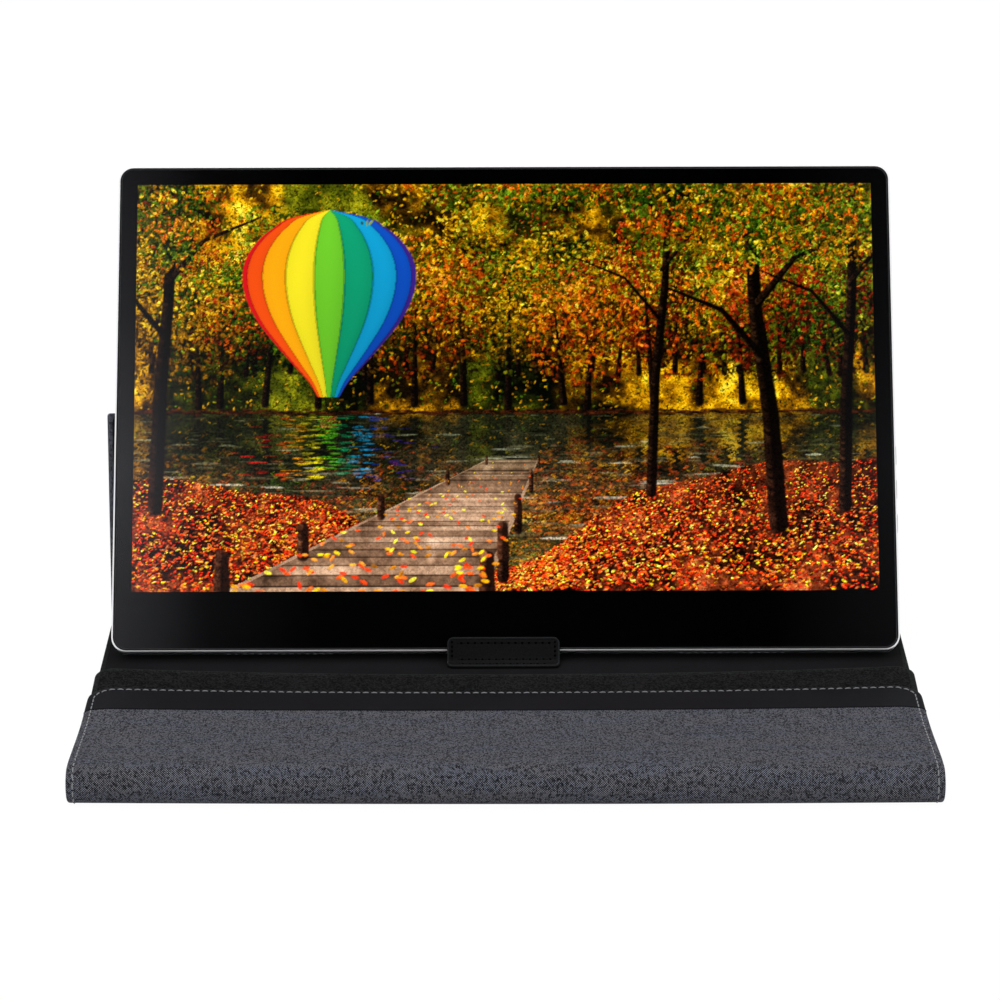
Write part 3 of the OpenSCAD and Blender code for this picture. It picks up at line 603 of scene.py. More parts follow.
# %% Flap surface
NOSE_BACK, NOSE_HEIGHT = -144 * MM, 16.8 * MM
NOSE_R = NOSE_HEIGHT / 2
NOSE_Y = -156.4 * MM + NOSE_R
FLAP_END = -54.7 * MM
TRIM_Y = -78.8 * MM
FLAP_T = 2.6 * MM
FLAP_CORNER = 13 * MM
HALF_W = COVER_W / 2
SIDE_TOP = np.array([(-148, 16.8), (-144, 16.72), (-135, 15.9), (-123, 14.5), (-108, 12.8), (-95, 11.7),
                     (-78, 11.3), (-54.7, 11.1)]) * MM
MID_TOP = np.array([(-148, 16.8), (-144, 16.72), (-135, 15.9), (-123, 14.4), (-108, 12.6), (-95, 11.4),
                    (-78, 10.3), (-54.7, 9.0)]) * MM


def smooth_curve(table, y):
    """A smooth line through a short table, from cubic pieces with averaged slopes."""
    ys, zs = table[:, 0], table[:, 1]
    slope = np.gradient(zs, ys)
    i = np.clip(np.searchsorted(ys, y) - 1, 0, len(ys) - 2)
    h = ys[i + 1] - ys[i]
    t = (y - ys[i]) / h
    return ((2 * t**3 - 3 * t**2 + 1) * zs[i] + (t**3 - 2 * t**2 + t) * h * slope[i]
            + (-2 * t**3 + 3 * t**2) * zs[i + 1] + (t**3 - t**2) * h * slope[i + 1])


def flap_top(x, y):
    w = np.clip(np.abs(x) / (174 * MM), 0, 1) ** 2.2
    return smooth_curve(SIDE_TOP, y) * w + smooth_curve(MID_TOP, y) * (1 - w)


def mid_top(y):
    return float(flap_top(0.0, np.array(y)))


def corner_short(x):
    """How much shorter the flap is at x, because of its round corners."""
    over = max(abs(x) - (HALF_W - FLAP_CORNER), 0.0)
    return FLAP_CORNER - math.sqrt(max(FLAP_CORNER**2 - over**2, 0.0))


def bow(x, y):
    """The front of the nose and the flap's free edge bow forward in the middle."""
    middle = 1 - np.clip(np.abs(x) / HALF_W, 0, 1) ** 2
    turned = 0.9 * MM * x / HALF_W * ease((-136 * MM - y) / (10 * MM))
    nose, free_edge = ease((-147 * MM - y) / (6 * MM)), ease((y + 125 * MM) / (45 * MM))
    return turned + middle * (1.6 * MM * nose + 0.8 * MM * free_edge)


def bend_section(x, yz):
    """Moves the flap's part of a straight section to the sagging surface and shortens it at the corners."""
    y, z = yz.T
    on_flap = ease((y - NOSE_BACK + 0.5 * MM) / (3 * MM))
    flat_y = np.clip(y, NOSE_BACK, FLAP_END)
    z = z + (flap_top(x, flat_y) - flap_top(0.0, flat_y)) * on_flap
    pull = np.clip((y - (FLAP_END - 34 * MM)) / (31 * MM), 0, 1)
    y = y - corner_short(x) * pull - bow(x, y)
    return np.column_stack([y, z])

# %% Nose and flap cloth
def nose_and_flap_line(end_y):
    top = [(y, mid_top(y)) for y in np.linspace(end_y, NOSE_BACK, 24)]
    front = arc(NOSE_Y, NOSE_R, NOSE_R, np.linspace(0, -180, 29))
    lower = [(NOSE_BACK - 0.6 * MM, 0.0)] + [(NOSE_BACK, z * MM) for z in (0.6, 4, 8, 12)]
    under = [(NOSE_BACK + 0.5 * MM, mid_top(NOSE_BACK) - FLAP_T - 0.2 * MM)]
    under += [(y, mid_top(y) - FLAP_T) for y in np.linspace(NOSE_BACK + 3 * MM, end_y, 22)]
    return top + front + lower + under


STATIONS = end_stations(HALF_W, 1.2 * MM, FLAP_CORNER, 6 * MM)
front_cloth = sweep("nose_flap_cloth", nose_and_flap_line(TRIM_Y + 0.6 * MM), STATIONS, 1.2 * MM,
                    bend_section, CLOTH)
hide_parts("nose_skin", "nose_core", "flap_skin", "flap_board")
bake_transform(front_cloth)

# %% [markdown]
# ## The trim strip
# A smooth coated strip is sewn round the flap's free edge. It stands 0.2 mm proud of the cloth,
# and its front border is a narrow turned lip.

# %% Trim strip
TRIM_PROUD = 0.2 * MM


def trim_line():
    def top(y, lift):
        return (y, mid_top(min(y, FLAP_END)) + lift)

    r = 1.25 * MM
    line = [top(TRIM_Y, -1.0 * MM), (TRIM_Y + 0.02 * MM, mid_top(TRIM_Y) - 0.05 * MM),
            (TRIM_Y + 0.15 * MM, mid_top(TRIM_Y) + 0.5 * TRIM_PROUD),
            (TRIM_Y + 0.5 * MM, mid_top(TRIM_Y) + TRIM_PROUD)]
    line += [top(y, TRIM_PROUD) for y in np.linspace(TRIM_Y + 1.5 * MM, FLAP_END - 2.6 * MM, 14)]
    line += arc(FLAP_END - r, mid_top(FLAP_END) + TRIM_PROUD - r, r, range(15, 180, 15))
    line += [top(y, TRIM_PROUD - 2 * r) for y in np.linspace(FLAP_END - 2.6 * MM, TRIM_Y + 0.4 * MM, 10)]
    return line + [top(TRIM_Y, -2.0 * MM)]


trim = sweep("flap_trim_strip", trim_line(), STATIONS, 1.1 * MM, bend_section, TRIM)
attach(trim, "flap"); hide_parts("flap_trim", "flap_magnets")

# %% Flap lining
def lay_flap_lining(p):
    x, s, h = p.T
    y = NOSE_BACK + s
    z = flap_top(x, np.clip(y, NOSE_BACK, FLAP_END)) - 2.32 * MM - h
    return np.column_stack([x, y - bow(x, y), z])


flap_sheet = ring_panel("flap_lining_sheet", COVER_W - 5.4 * MM, 2.4 * MM, 86.5 * MM, 1.5 * MM, 10.4 * MM,
                        section(42, (0.3, 0), [(0.1, 0), (0, 0.25), (0.15, 0.45)], (0.3, 0.5)),
                        lay_flap_lining, [LINING])
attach(flap_sheet, "flap")
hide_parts("flap_lining")

# %% [markdown]
# ## The leather tab
# A rounded strip of leather, sewn to the base by its foot. It bends up and lies against the
# lower edge of the glass. The strip is built flat, with a soft raised rim, and then bent: a point
# at distance s along the strip goes along the foot, round the bend, and up the glass.

# %% Leather tab
TAB = {"w": 51.6 * MM, "x": -0.5 * MM, "t": 1.7 * MM, "y": -14.51 * MM, "z": 7.55 * MM, "r": 3 * MM,
       "foot": 2.8 * MM, "lip": 9.63 * MM}
TAB_TURN = math.pi / 2 - LEAN
TAB_ARC = (TAB["r"] + TAB["t"]) * TAB_TURN
TAB_LENGTH = TAB["foot"] + TAB_ARC + TAB["lip"]
# height 0 lies on the base and the glass; the other side shows, with its raised rim
TAB_EDGE = [(0.8, 0), (0.3, 0.08), (0.06, 0.3), (0, 0.6), (0, 1.1), (0.08, 1.45, 1), (0.3, 1.65, 1),
            (0.6, 1.7, 1), (0.85, 1.65, 1), (1.05, 1.54), (1.5, 1.56), (2.0, 1.6), (2.8, 1.54), (3.4, 1.56)]


def bend_tab(p):
    """s runs from the foot's front edge to the lip's upper edge; h is the height over the underside."""
    x, s, h = p.T
    radius = TAB["r"] + TAB["t"] - h
    angle = np.clip((s - TAB["foot"]) / (TAB["r"] + TAB["t"]), 0.0, TAB_TURN)
    before = np.minimum(s - TAB["foot"], 0.0)
    after = np.maximum(s - TAB["foot"] - TAB_ARC, 0.0)
    y = TAB["y"] + before + radius * np.sin(angle) + after * math.cos(TAB_TURN)
    z = TAB["z"] - radius * np.cos(angle) + after * math.sin(TAB_TURN)
    return np.column_stack([x + TAB["x"], y, z])


tab = ring_panel("leather_tab", TAB["w"], 0.0, TAB_LENGTH, 3 * MM, 3 * MM,
                 section(TAB_LENGTH / 2 / MM, (0.8, 0), TAB_EDGE, (3.4, 1.58), 1.2), bend_tab,
                 [LEATHER, LEATHER_EDGE], per_corner=7, step=1.2 * MM)
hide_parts("tab_foot", "tab_lip")
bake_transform(tab)

# %% [markdown]
# ## Small cloth parts
# The rolled crease behind the base, the folded pleat under the leaf and the sleeve of the magnets.

# %% Rear crease, pleat and magnet sleeve
crease = sweep("rear_crease_cloth", arc(CREASE_Y, CREASE_Z, 1.4 * MM, range(90, -270, -18)),
               np.linspace(-181 * MM, 181 * MM, 40), 1e-6, lambda x, yz: yz, CLOTH)
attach(crease, "cover_base"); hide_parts("rear_crease")

PLEAT_W, PLEAT_L = COVER_W - 5.2 * MM, 19.6 * MM
pleat_edge = [(0.4, 2.85), (0.1, 2.95), (0, 3.2), (0.15, 3.5), (0.5, 3.62)]
pleat = ring_panel("pleat_cloth", PLEAT_W, -28.2 * MM - PLEAT_L, -28.2 * MM, 1.5 * MM, 1.5 * MM,
                   section(9.8, pleat_edge[0], pleat_edge, pleat_edge[-1], 3.0), lie_flat, [LINING])
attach(pleat, "cover_base"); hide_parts("pleat_strip")

HOUSING = (0.5 * MM, -8.508 * MM, 7.753 * MM)


def in_housing(p):
    """From the housing's own frame (depth y, height z) to the leaning pose."""
    x, y, z = p.T
    return np.column_stack([x + HOUSING[0], HOUSING[1] + y * math.cos(LEAN) + z * math.sin(LEAN),
                            HOUSING[2] - y * math.sin(LEAN) + z * math.cos(LEAN)])


def stand_sleeve(p):
    x, s, h = p.T
    return in_housing(np.column_stack([x, 10.3 * MM + h, s]))


SLEEVE_Z = 115.29 * MM
sleeve_edge = [(0.5, 0), (0.1, 0.15), (0, 0.5), (0.1, 0.9), (0.8, 1.05), (2.2, 1.1), (3.4, 1.5), (4.4, 1.8)]
sleeve = ring_panel("magnet_sleeve_cloth", 330 * MM, SLEEVE_Z, SLEEVE_Z + 24 * MM, 3 * MM, 3 * MM,
                    section(12, sleeve_edge[0], sleeve_edge, sleeve_edge[-1], 3.0), stand_sleeve, [LINING])
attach(sleeve, "magnet_strip"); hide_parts("magnet_sleeve", "strut_magnets")

# %% [markdown]
# ## Border print and the edge of the glass
# The black border is printed on the back of the glass. It is modelled as a very thin frame a hair
# behind the glass, because two faces in exactly the same place flicker when they are rendered.
# A black bead seals the glass in the silver rim and leaves 0.75 mm of the rim to be seen; its near-black
# also paints the shade of the gap there. Beside it, a grey ring on the edge of the glass is a painted glint.

# %% Loops of rings
def loop_mesh(name, material, slot, *rings):
    """Joins rings in order, and the last with the first.

    A ring is an outline (width, bottom, top, radius) and its depth."""
    points = np.array([(x, depth, z) for (w, z0, z1, r), depth in rings
                       for x, z in outline_ring(w, z0, z1, r, r, 0.0, 8, 1.0)])
    faces = bands(len(rings), len(points) // len(rings), wrap=1)
    obj = finish_mesh(name, in_housing(points), faces, points[:, ::2], [material], [0] * len(faces))
    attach(obj, "monitor")
    return obj


GLASS_SINK, GLASS_BACK = 0.15 * MM, 1.05 * MM
INK_FRONT, INK_BACK = GLASS_BACK + 0.02 * MM, GLASS_BACK + 0.05 * MM
window = (344.2 * MM, 28 * MM, 221.5 * MM, 0.3 * MM)
outer = (359.1 * MM, 1.45 * MM, 228.75 * MM, 5.55 * MM)
wide = (360.5 * MM, 0.75 * MM, 229.45 * MM, 6.25 * MM)
ground = (358.7 * MM, 1.65 * MM, 228.55 * MM, 5.35 * MM)
border = loop_mesh("border_print_film", INK, "border_ink",
                   (outer, INK_FRONT), (window, INK_FRONT), (window, INK_BACK), (outer, INK_BACK))
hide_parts("border_print")
# the edge of the glass as a grey ring: a painted glint
loop_mesh("glass_ground_edge", EDGE_GLINT, "black_glass", (outer, GLASS_SINK + 0.30 * MM),
          (outer, GLASS_SINK + 0.02 * MM), (ground, GLASS_SINK - 0.03 * MM), (ground, GLASS_SINK + 0.10 * MM))
# the bead: a real seal, and also the painted shade of the gap beside the rim
loop_mesh("glass_bead", BEAD_AND_GAP_SHADE, "foam",
          (wide, 0.03 * MM), (wide, -0.03 * MM), (outer, -0.05 * MM), (outer, 0.12 * MM))
print("border film, glass edge and bead made")

# %% [markdown]
# ## Stitches
# A stitch is a short bow of thread that dives into the cloth at both ends. Geometry Nodes set
# one on every point of a list; each point carries the direction of the seam and of the surface.
# The tree ends in Realize Instances and Set Material, and its result becomes a plain mesh.

# %% Thread and its tree
def thread_material(name, colour, gloss):
    material, tree, shader = new_material(name, Roughness=0.7, Sheen_Weight=gloss, Specular_IOR_Level=gloss)
    place = own_place(tree)
    twist = add(tree, "ShaderNodeTexWave", {"Vector": place, "Scale": 900.0, "Distortion": 3.0}).outputs[1]
    low, high = shades(colour, 0.75, 1.0)
    feed(tree, shader.inputs["Base Color"], ramp(tree, twist, (0.2, low), (0.8, high)))
    return material


THREAD = thread_material("light_thread", srgb(150, 151, 154), 0.3)
DARK_THREAD = thread_material("black_thread", srgb(9, 9, 10), 0.02)


def circle(sides):
    return [(math.cos(2 * math.pi * j / sides), math.sin(2 * math.pi * j / sides)) for j in range(sides)]


def thread_piece(name, length, radius, rise, sides=6, rings=7):
    """A bow of thread along X, with Z away from the cloth."""
    points = []
    for t in np.linspace(0, 1, rings):
        arch = max(math.sin(math.pi * t), 0.0)
        lift = rise * arch ** 0.7 - radius * 1.2 * (1 - arch)
        r = radius * (0.55 + 0.45 * arch ** 0.5)
        points += [((t - 0.5) * length, r * 1.15 * c, lift + r * s) for c, s in circle(sides)]
    last = len(points) - sides
    faces = bands(rings, sides) + [tuple(range(sides)), tuple(range(last, last + sides))]
    mesh = plain_mesh(name, points, faces)
    edit_mesh(mesh, turn_outward)
    mesh.polygons.foreach_set("use_smooth", [True] * len(mesh.polygons))
    return bpy.data.objects.new(name, mesh)


def pit_piece(name, radius, sides=8):
    """A needle hole: a low dome, sunk in the surface, that carries the hole's painted shade."""
    points = [(0.0, 0.0, 0.05 * MM)]
    for r, z in ((0.7 * radius, 0.035 * MM), (radius, -0.06 * MM)):
        points += [(r * c, 0.8 * r * s, z) for c, s in circle(sides)]
    inner, outside = list(range(1, 1 + sides)), list(range(1 + sides, 1 + 2 * sides))
    faces = [tuple(reversed(outside))]
    for j in range(sides):
        a, b = inner[j], inner[(j + 1) % sides]
        faces += [(0, a, b), (a, outside[j], outside[(j + 1) % sides], b)]
    return bpy.data.objects.new(name, plain_mesh(name, points, faces))


def stitch_tree():
    tree = bpy.data.node_groups.new("set_on_seam", "GeometryNodeTree")
    for name, way, kind in (("Geometry", "INPUT", "Geometry"), ("Piece", "INPUT", "Object"),
                            ("Size", "INPUT", "Float"), ("Material", "INPUT", "Material"),
                            ("Geometry", "OUTPUT", "Geometry")):
        tree.interface.new_socket(name, in_out=way, socket_type="NodeSocket" + kind)
    given, end = add(tree, "NodeGroupInput").outputs, add(tree, "NodeGroupOutput")
    points = add(tree, "GeometryNodeMeshToPoints", {0: given["Geometry"]})
    along, up = (add(tree, "GeometryNodeInputNamedAttribute", {0: key}, data_type="FLOAT_VECTOR").outputs[0]
                 for key in ("along", "up"))
    turn_x = add(tree, "FunctionNodeAlignRotationToVector", {"Vector": along}, axis="X")
    turn_z = add(tree, "FunctionNodeAlignRotationToVector", {"Rotation": turn_x.outputs[0], "Vector": up},
                 axis="Z", pivot_axis="X")
    info = add(tree, "GeometryNodeObjectInfo", {"Object": given["Piece"]})
    place = add(tree, "GeometryNodeInstanceOnPoints", {
        "Points": points.outputs[0], "Instance": info.outputs["Geometry"], "Rotation": turn_z.outputs[0],
        "Scale": given["Size"]})
    real = add(tree, "GeometryNodeRealizeInstances", {0: place.outputs[0]})
    paint = add(tree, "GeometryNodeSetMaterial", {0: real.outputs[0], "Material": given["Material"]})
    feed(tree, end.inputs[0], paint.outputs[0])
    return tree


SEAM_TREE = stitch_tree()


def set_on_seam(name, places, alongs, ups, piece, material):
    """Puts piece on every place, X along the seam and Z away from the surface, as one mesh."""
    seed = plain_mesh(name + "_places", places, [])
    for key, values in (("along", alongs), ("up", ups)):
        layer = seed.attributes.new(key, "FLOAT_VECTOR", "POINT")
        layer.data.foreach_set("vector", np.asarray(values, np.float32).ravel())
    holder = place_object(name + "_places", seed)
    modifier = holder.modifiers.new("seam", "NODES")
    modifier.node_group = SEAM_TREE
    sockets = {s.name: s.identifier for s in SEAM_TREE.interface.items_tree if s.in_out == "INPUT"}
    for key, value in (("Piece", piece), ("Size", 1.0), ("Material", material)):
        modifier[sockets[key]] = value
    bpy.context.view_layer.update()
    mesh = bpy.data.meshes.new_from_object(holder.evaluated_get(bpy.context.evaluated_depsgraph_get()))
    mesh.name = name
    holder.modifiers.clear()
    bpy.data.objects.remove(holder)
    print(name, "made of", len(places), "pieces")
    return place_object(name, mesh)

# %% [markdown]
# The seam on the flap starts at the bottom of the nose, runs up and over it, along the flap's
# side, round the corner, along the free edge and back on the other side, 3 mm inside the edge.

# %% Seam along the flap and the nose
SEAM_IN = 3.0 * MM
STITCH = 3.767 * MM
SEAM_X = HALF_W - SEAM_IN


def flap_seam():
    """Points (x, y) in plan from the nose's back, left side, round to the right side."""
    r = FLAP_CORNER - SEAM_IN
    left = [(-SEAM_X, y) for y in np.linspace(NOSE_BACK, FLAP_END - FLAP_CORNER, 60)]
    bend = [(-SEAM_X + r - r * math.cos(a), FLAP_END - FLAP_CORNER + r * math.sin(a))
            for a in np.linspace(0, math.pi / 2, 20)[1:]]
    across = [(x, FLAP_END - SEAM_IN) for x in np.linspace(-SEAM_X + r, 0, 120)[1:]]
    half = left + bend + across
    return half + [(-x, y) for x, y in reversed(half[:-1])]


def unit(v):
    return v / np.linalg.norm(v, axis=1, keepdims=True)


def walk(points, pitch):
    """Evenly spaced places along a line of points, with their directions."""
    p = np.asarray(points, float)
    s = np.concatenate([[0.0], np.cumsum(np.linalg.norm(np.diff(p, axis=0), axis=1))])
    at = pitch * (np.arange(int(s[-1] / pitch)) + 0.5)
    place, ahead, behind = (np.column_stack([np.interp(at + shift * pitch, s, column) for column in p.T])
                            for shift in (0, 0.2, -0.2))
    return place, unit(ahead - behind)


def flap_surface_points(plan):
    x, y = np.asarray(plan).T
    lift = np.where(y > TRIM_Y, TRIM_PROUD, 0.0) + 0.02 * MM
    return np.column_stack([x, y - bow(x, y), flap_top(x, y) + lift])


def hand_turned(alongs, ups, seed):
    """Each stitch lies a few degrees off the seam's line."""
    turn = np.random.default_rng(seed).normal(0.0, 0.07, len(alongs))[:, None]
    return unit(alongs + np.cross(ups, alongs) * turn)


def nose_seam(side):
    x = side * SEAM_X
    points = [(x, NOSE_BACK - 0.8 * MM, NOSE_HEIGHT)]
    for a in np.linspace(0, math.pi * 0.93, 40):
        y = NOSE_Y - NOSE_R * math.sin(a)
        points.append((x, y - float(bow(x, np.array(y))), NOSE_R + NOSE_R * math.cos(a)))
    return walk(points, STITCH)


places, alongs = walk(flap_surface_points(flap_seam()), STITCH)
slope_y = (flap_top(places[:, 0], places[:, 1] + MM) - flap_top(places[:, 0], places[:, 1] - MM)) / (2 * MM)
on_flap = (places, alongs, unit(np.column_stack([np.zeros(len(places)), -slope_y, np.ones(len(places))])))
places, alongs = (np.vstack(pair) for pair in zip(nose_seam(-1), nose_seam(1)))
outward = (np.zeros(len(places)), np.minimum(places[:, 1] - NOSE_Y, 0), places[:, 2] - NOSE_R)
on_nose = (places, alongs, unit(np.column_stack(outward)))
places, alongs, ups = (np.vstack(pair) for pair in zip(on_flap, on_nose))
STITCH_PIECE = thread_piece("stitch_piece", 3.25 * MM, 0.24 * MM, 0.2 * MM)
SEAM_HOLE = pit_piece("seam_hole", 0.34 * MM)
front_stitches = set_on_seam("front_stitches", places, hand_turned(alongs, ups, 3), ups, STITCH_PIECE, THREAD)
# the near-black domes between the stitches are the needle holes' painted shade
front_holes = set_on_seam("front_seam_holes", places + alongs * STITCH / 2, alongs, ups, SEAM_HOLE, HOLE_SHADE)
for piece in (front_stitches, front_holes):
    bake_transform(piece)

# %% Seam of the tab
TAB_STITCH, SIDE_STITCH = 3.1 * MM, 2.1 * MM
TAB_ROWS = (2.1 * MM, 6.5 * MM, TAB_LENGTH - 2.8 * MM)


def tab_seams():
    """Three rows across the tab, on the foot, the bend and the lip, and a short row at each side."""
    wide, side = TAB["w"] / 2 - 4.2 * MM, TAB["w"] / 2 - 2.2 * MM
    rows = [walk([(x, s) for x in np.linspace(-wide - n * 0.4 * MM, wide, 60)], TAB_STITCH)
            for n, s in enumerate(TAB_ROWS)]
    rows += [walk([(x, s) for s in np.linspace(TAB_ROWS[1] - 0.6 * MM, TAB_ROWS[2], 20)], SIDE_STITCH)
             for x in (-side, side)]
    return (np.vstack(parts) for parts in zip(*rows))


def on_tab(points, along, height):
    level = np.full(len(points), height)
    here = bend_tab(np.column_stack([points, level]))
    ahead = bend_tab(np.column_stack([points + along * 0.2 * MM, level]))
    above = bend_tab(np.column_stack([points, level + 0.2 * MM]))
    return here, ahead - here, above - here


flat, flat_along = tab_seams()
TAB_TOP = TAB["t"] - 0.14 * MM
TAB_PIECE = thread_piece("tab_stitch_piece", 1.7 * MM, 0.16 * MM, 0.05 * MM)
HOLE_PIECE = pit_piece("needle_hole", 0.62 * MM)
between = flat + flat_along * TAB_STITCH / 2
tab_stitches = set_on_seam("tab_stitches", *on_tab(flat, flat_along, TAB_TOP), TAB_PIECE, DARK_THREAD)
# the near-black domes between the tab's stitches are the needle holes' painted shade
tab_holes = set_on_seam("tab_holes", *on_tab(between, flat_along, TAB_TOP + 0.07 * MM), HOLE_PIECE, HOLE_SHADE)
for piece in (tab_stitches, tab_holes):
    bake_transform(piece)

# %% [markdown]
# ## The picture
# The screen shows a landscape of its own: an autumn wood round a lake, with a wooden jetty and a
# striped balloon. It is painted as a painter would, from back to front, with thousands of short
# dabs on a canvas of colours. The canvas is the front of the display cell: its colours are a
# colour attribute of that mesh, which the material sends out as light. The canvas has 800 by
# 450 cells, so it is divided into four tiles to keep each mesh small.

# %% Canvas
ACTIVE = {"w": 344.2 * MM, "h": 193.5 * MM, "z": 28 * MM, "edge": 2 * MM, "y": 1.2 * MM, "t": 1.2 * MM}
COLS, ROWS = 801, 451
gx, gy = np.meshgrid(np.linspace(0, 1, COLS), np.linspace(0, 1, ROWS))
canvas = np.zeros((ROWS, COLS, 3))
crispness = np.ones((ROWS, COLS))


def palette(*stops):
    """Colours in screen values from dark to light; returns a function of a tone from 0 to 1."""
    table = np.array([srgb(*c)[:3] for c in stops])

    def pick(t):
        t = np.clip(t, 0, 0.9999) * (len(table) - 1)
        i = np.asarray(t).astype(int)
        f = (np.asarray(t) - i)[..., None]
        return table[i] * (1 - f) + table[i + 1] * f
    return pick


GREEN = palette((6, 12, 4), (20, 36, 8), (50, 78, 16), (98, 126, 26), (158, 178, 48))
OLIVE = palette((10, 12, 4), (44, 46, 10), (98, 98, 18), (158, 148, 30), (210, 196, 70))
GOLD = palette((30, 18, 4), (96, 62, 8), (178, 122, 12), (232, 176, 24), (252, 224, 84))
ORANGE = palette((34, 12, 5), (112, 40, 8), (196, 80, 12), (236, 130, 28), (252, 190, 76))
RUST = palette((22, 8, 5), (74, 22, 9), (140, 38, 14), (192, 66, 26), (230, 124, 62))
SOIL = palette((14, 7, 4), (44, 20, 10), (86, 40, 20), (128, 66, 34), (166, 104, 60))
LEAVES = palette((96, 20, 10), (170, 38, 14), (222, 66, 20), (240, 104, 34), (250, 170, 70))
LAKE = palette((8, 10, 8), (24, 28, 20), (58, 56, 40), (104, 98, 74), (176, 176, 156))
WOOD = palette((20, 14, 10), (60, 46, 34), (112, 92, 72), (158, 138, 114), (204, 190, 166))
BARK = palette((8, 5, 4), (24, 14, 10), (50, 30, 20), (86, 56, 38), (128, 92, 64))


def cloudy(seed, *scales):
    """Random patches from 0 to 1, summed over several sizes given in cells."""
    r = np.random.default_rng(seed)
    out = np.zeros((ROWS, COLS))
    for k, scale in enumerate(scales):
        rows, cols = round(ROWS / scale) + 2, round(COLS / scale) + 2
        coarse = r.random((rows, cols))
        fy, fx = gy * (rows - 1.001), gx * (cols - 1.001)
        iy, ix = fy.astype(int), fx.astype(int)
        ty, tx = ease(fy - iy), ease(fx - ix)
        top = coarse[iy, ix] * (1 - tx) + coarse[iy, ix + 1] * tx
        low = coarse[iy + 1, ix] * (1 - tx) + coarse[iy + 1, ix + 1] * tx
        out += (top * (1 - ty) + low * ty) * 0.7 ** k
    return out / sum(0.7 ** k for k in range(len(scales)))


print("canvas:", COLS, "x", ROWS)

# %% Brush
def dab(x, y, long, wide, angle, colour, strength=0.9):
    """One stroke of the brush at a place given from 0 to 1, with sizes in cells."""
    cx, cy = x * (COLS - 1), y * (ROWS - 1)
    reach = int(max(long, wide) * 1.1) + 1
    x0, x1 = max(int(cx) - reach, 0), min(int(cx) + reach + 2, COLS)
    y0, y1 = max(int(cy) - reach, 0), min(int(cy) + reach + 2, ROWS)
    if x0 >= x1 or y0 >= y1:
        return
    dx, dy = np.arange(x0, x1)[None, :] - cx, np.arange(y0, y1)[:, None] - cy
    c, s = math.cos(angle), math.sin(angle)
    a, b = (dx * c + dy * s) / long, (dy * c - dx * s) / wide
    cover = (np.clip(1.6 * (1.1 - a * a - b * b), 0, 1) * strength)[..., None]
    shade = 1 + 0.25 * np.clip(b, -1, 1)[..., None]
    patch = canvas[y0:y1, x0:x1]
    patch += (colour * shade - patch) * cover


def stroke(points, w0, w1, paint, r, tone=0.45):
    """A trunk, branch or rope: dabs along a line, lit from the left."""
    p = np.array(points, float)
    for i in range(len(p) - 1):
        n = int(math.hypot((p[i + 1][0] - p[i][0]) * COLS, (p[i + 1][1] - p[i][1]) * ROWS) / 1.5) + 1
        for k in range(n):
            t = (i + k / n) / (len(p) - 1)
            x, y = p[i] + (p[i + 1] - p[i]) * k / n
            w = w0 + (w1 - w0) * t
            dab(x + 0.25 * w / COLS, y, w, w, 0, paint(tone - 0.3), 0.9)
            dab(x - 0.3 * w / COLS, y, w * 0.6, w * 0.9, 0, paint(tone + r.normal(0, 0.16)), 0.8)


def crown(cx, cy, rx, ry, paint, r, count, size):
    """The head of a tree: dark leaves first, then the lit ones on the upper left."""
    radius, turn = np.sqrt(r.random(count)), r.random(count) * 2 * math.pi
    px, py = radius * np.cos(turn), radius * np.sin(turn)
    tone = 0.36 + 0.30 * py - 0.18 * px + r.normal(0, 0.21, count)
    for i in np.argsort(tone + 0.25 * r.random(count)):
        dab(cx + px[i] * rx, cy + py[i] * ry, size * r.uniform(0.7, 1.6), size * r.uniform(0.4, 0.8),
            r.uniform(0, math.pi), paint(tone[i]), 0.85)

# %% Far wood, lake and ground
SHORE = 0.435


def far_side():
    mix = cloudy(1, 90, 30, 11, 5)
    canvas[:] = OLIVE(0.16 + 1.6 * (mix - 0.5) + 0.3 * np.clip(gy - 0.4, 0, 1))
    warm = GOLD(0.38 + 1.9 * (cloudy(2, 40, 14, 6) - 0.5))
    where = ease((cloudy(3, 120, 50) - 0.42) / 0.16)[..., None]
    canvas[:] = canvas * (1 - where) + warm * where
    r = np.random.default_rng(11)
    for _ in range(5200):
        x, y = r.random(), r.uniform(0.44, 1.0)
        paint = (GREEN, OLIVE, GOLD, GOLD)[r.integers(4)]
        dab(x, y, r.uniform(1.4, 2.8), r.uniform(0.8, 1.4), r.uniform(0, math.pi),
            paint(r.uniform(0.0, 0.8)), 0.8)
    tree_rows = [(0.70, 0.036, 44), (0.60, 0.040, 40), (0.53, 0.052, 30), (0.455, 0.080, 17)]
    for row, (base, size, spread) in enumerate(tree_rows):
        places = (np.arange(spread) + r.uniform(-0.4, 0.4, spread)) / (spread - 1)
        for x in r.permutation(places):
            paint = (GREEN, GREEN, OLIVE, GOLD, GOLD, ORANGE, RUST)[r.integers(7)]
            rx, ry = size * r.uniform(0.7, 1.2), size * r.uniform(1.5, 2.9)
            foot = base + r.normal(0, 0.008)
            stroke([(x, foot), (x + r.normal(0, 0.006), foot + ry * 1.3)], 1.3 + row, 0.8, BARK, r, 0.4)
            crown(x, foot + ry * 1.35, rx, ry, paint, r, 170 + 110 * row, 1.5 + 0.4 * row)


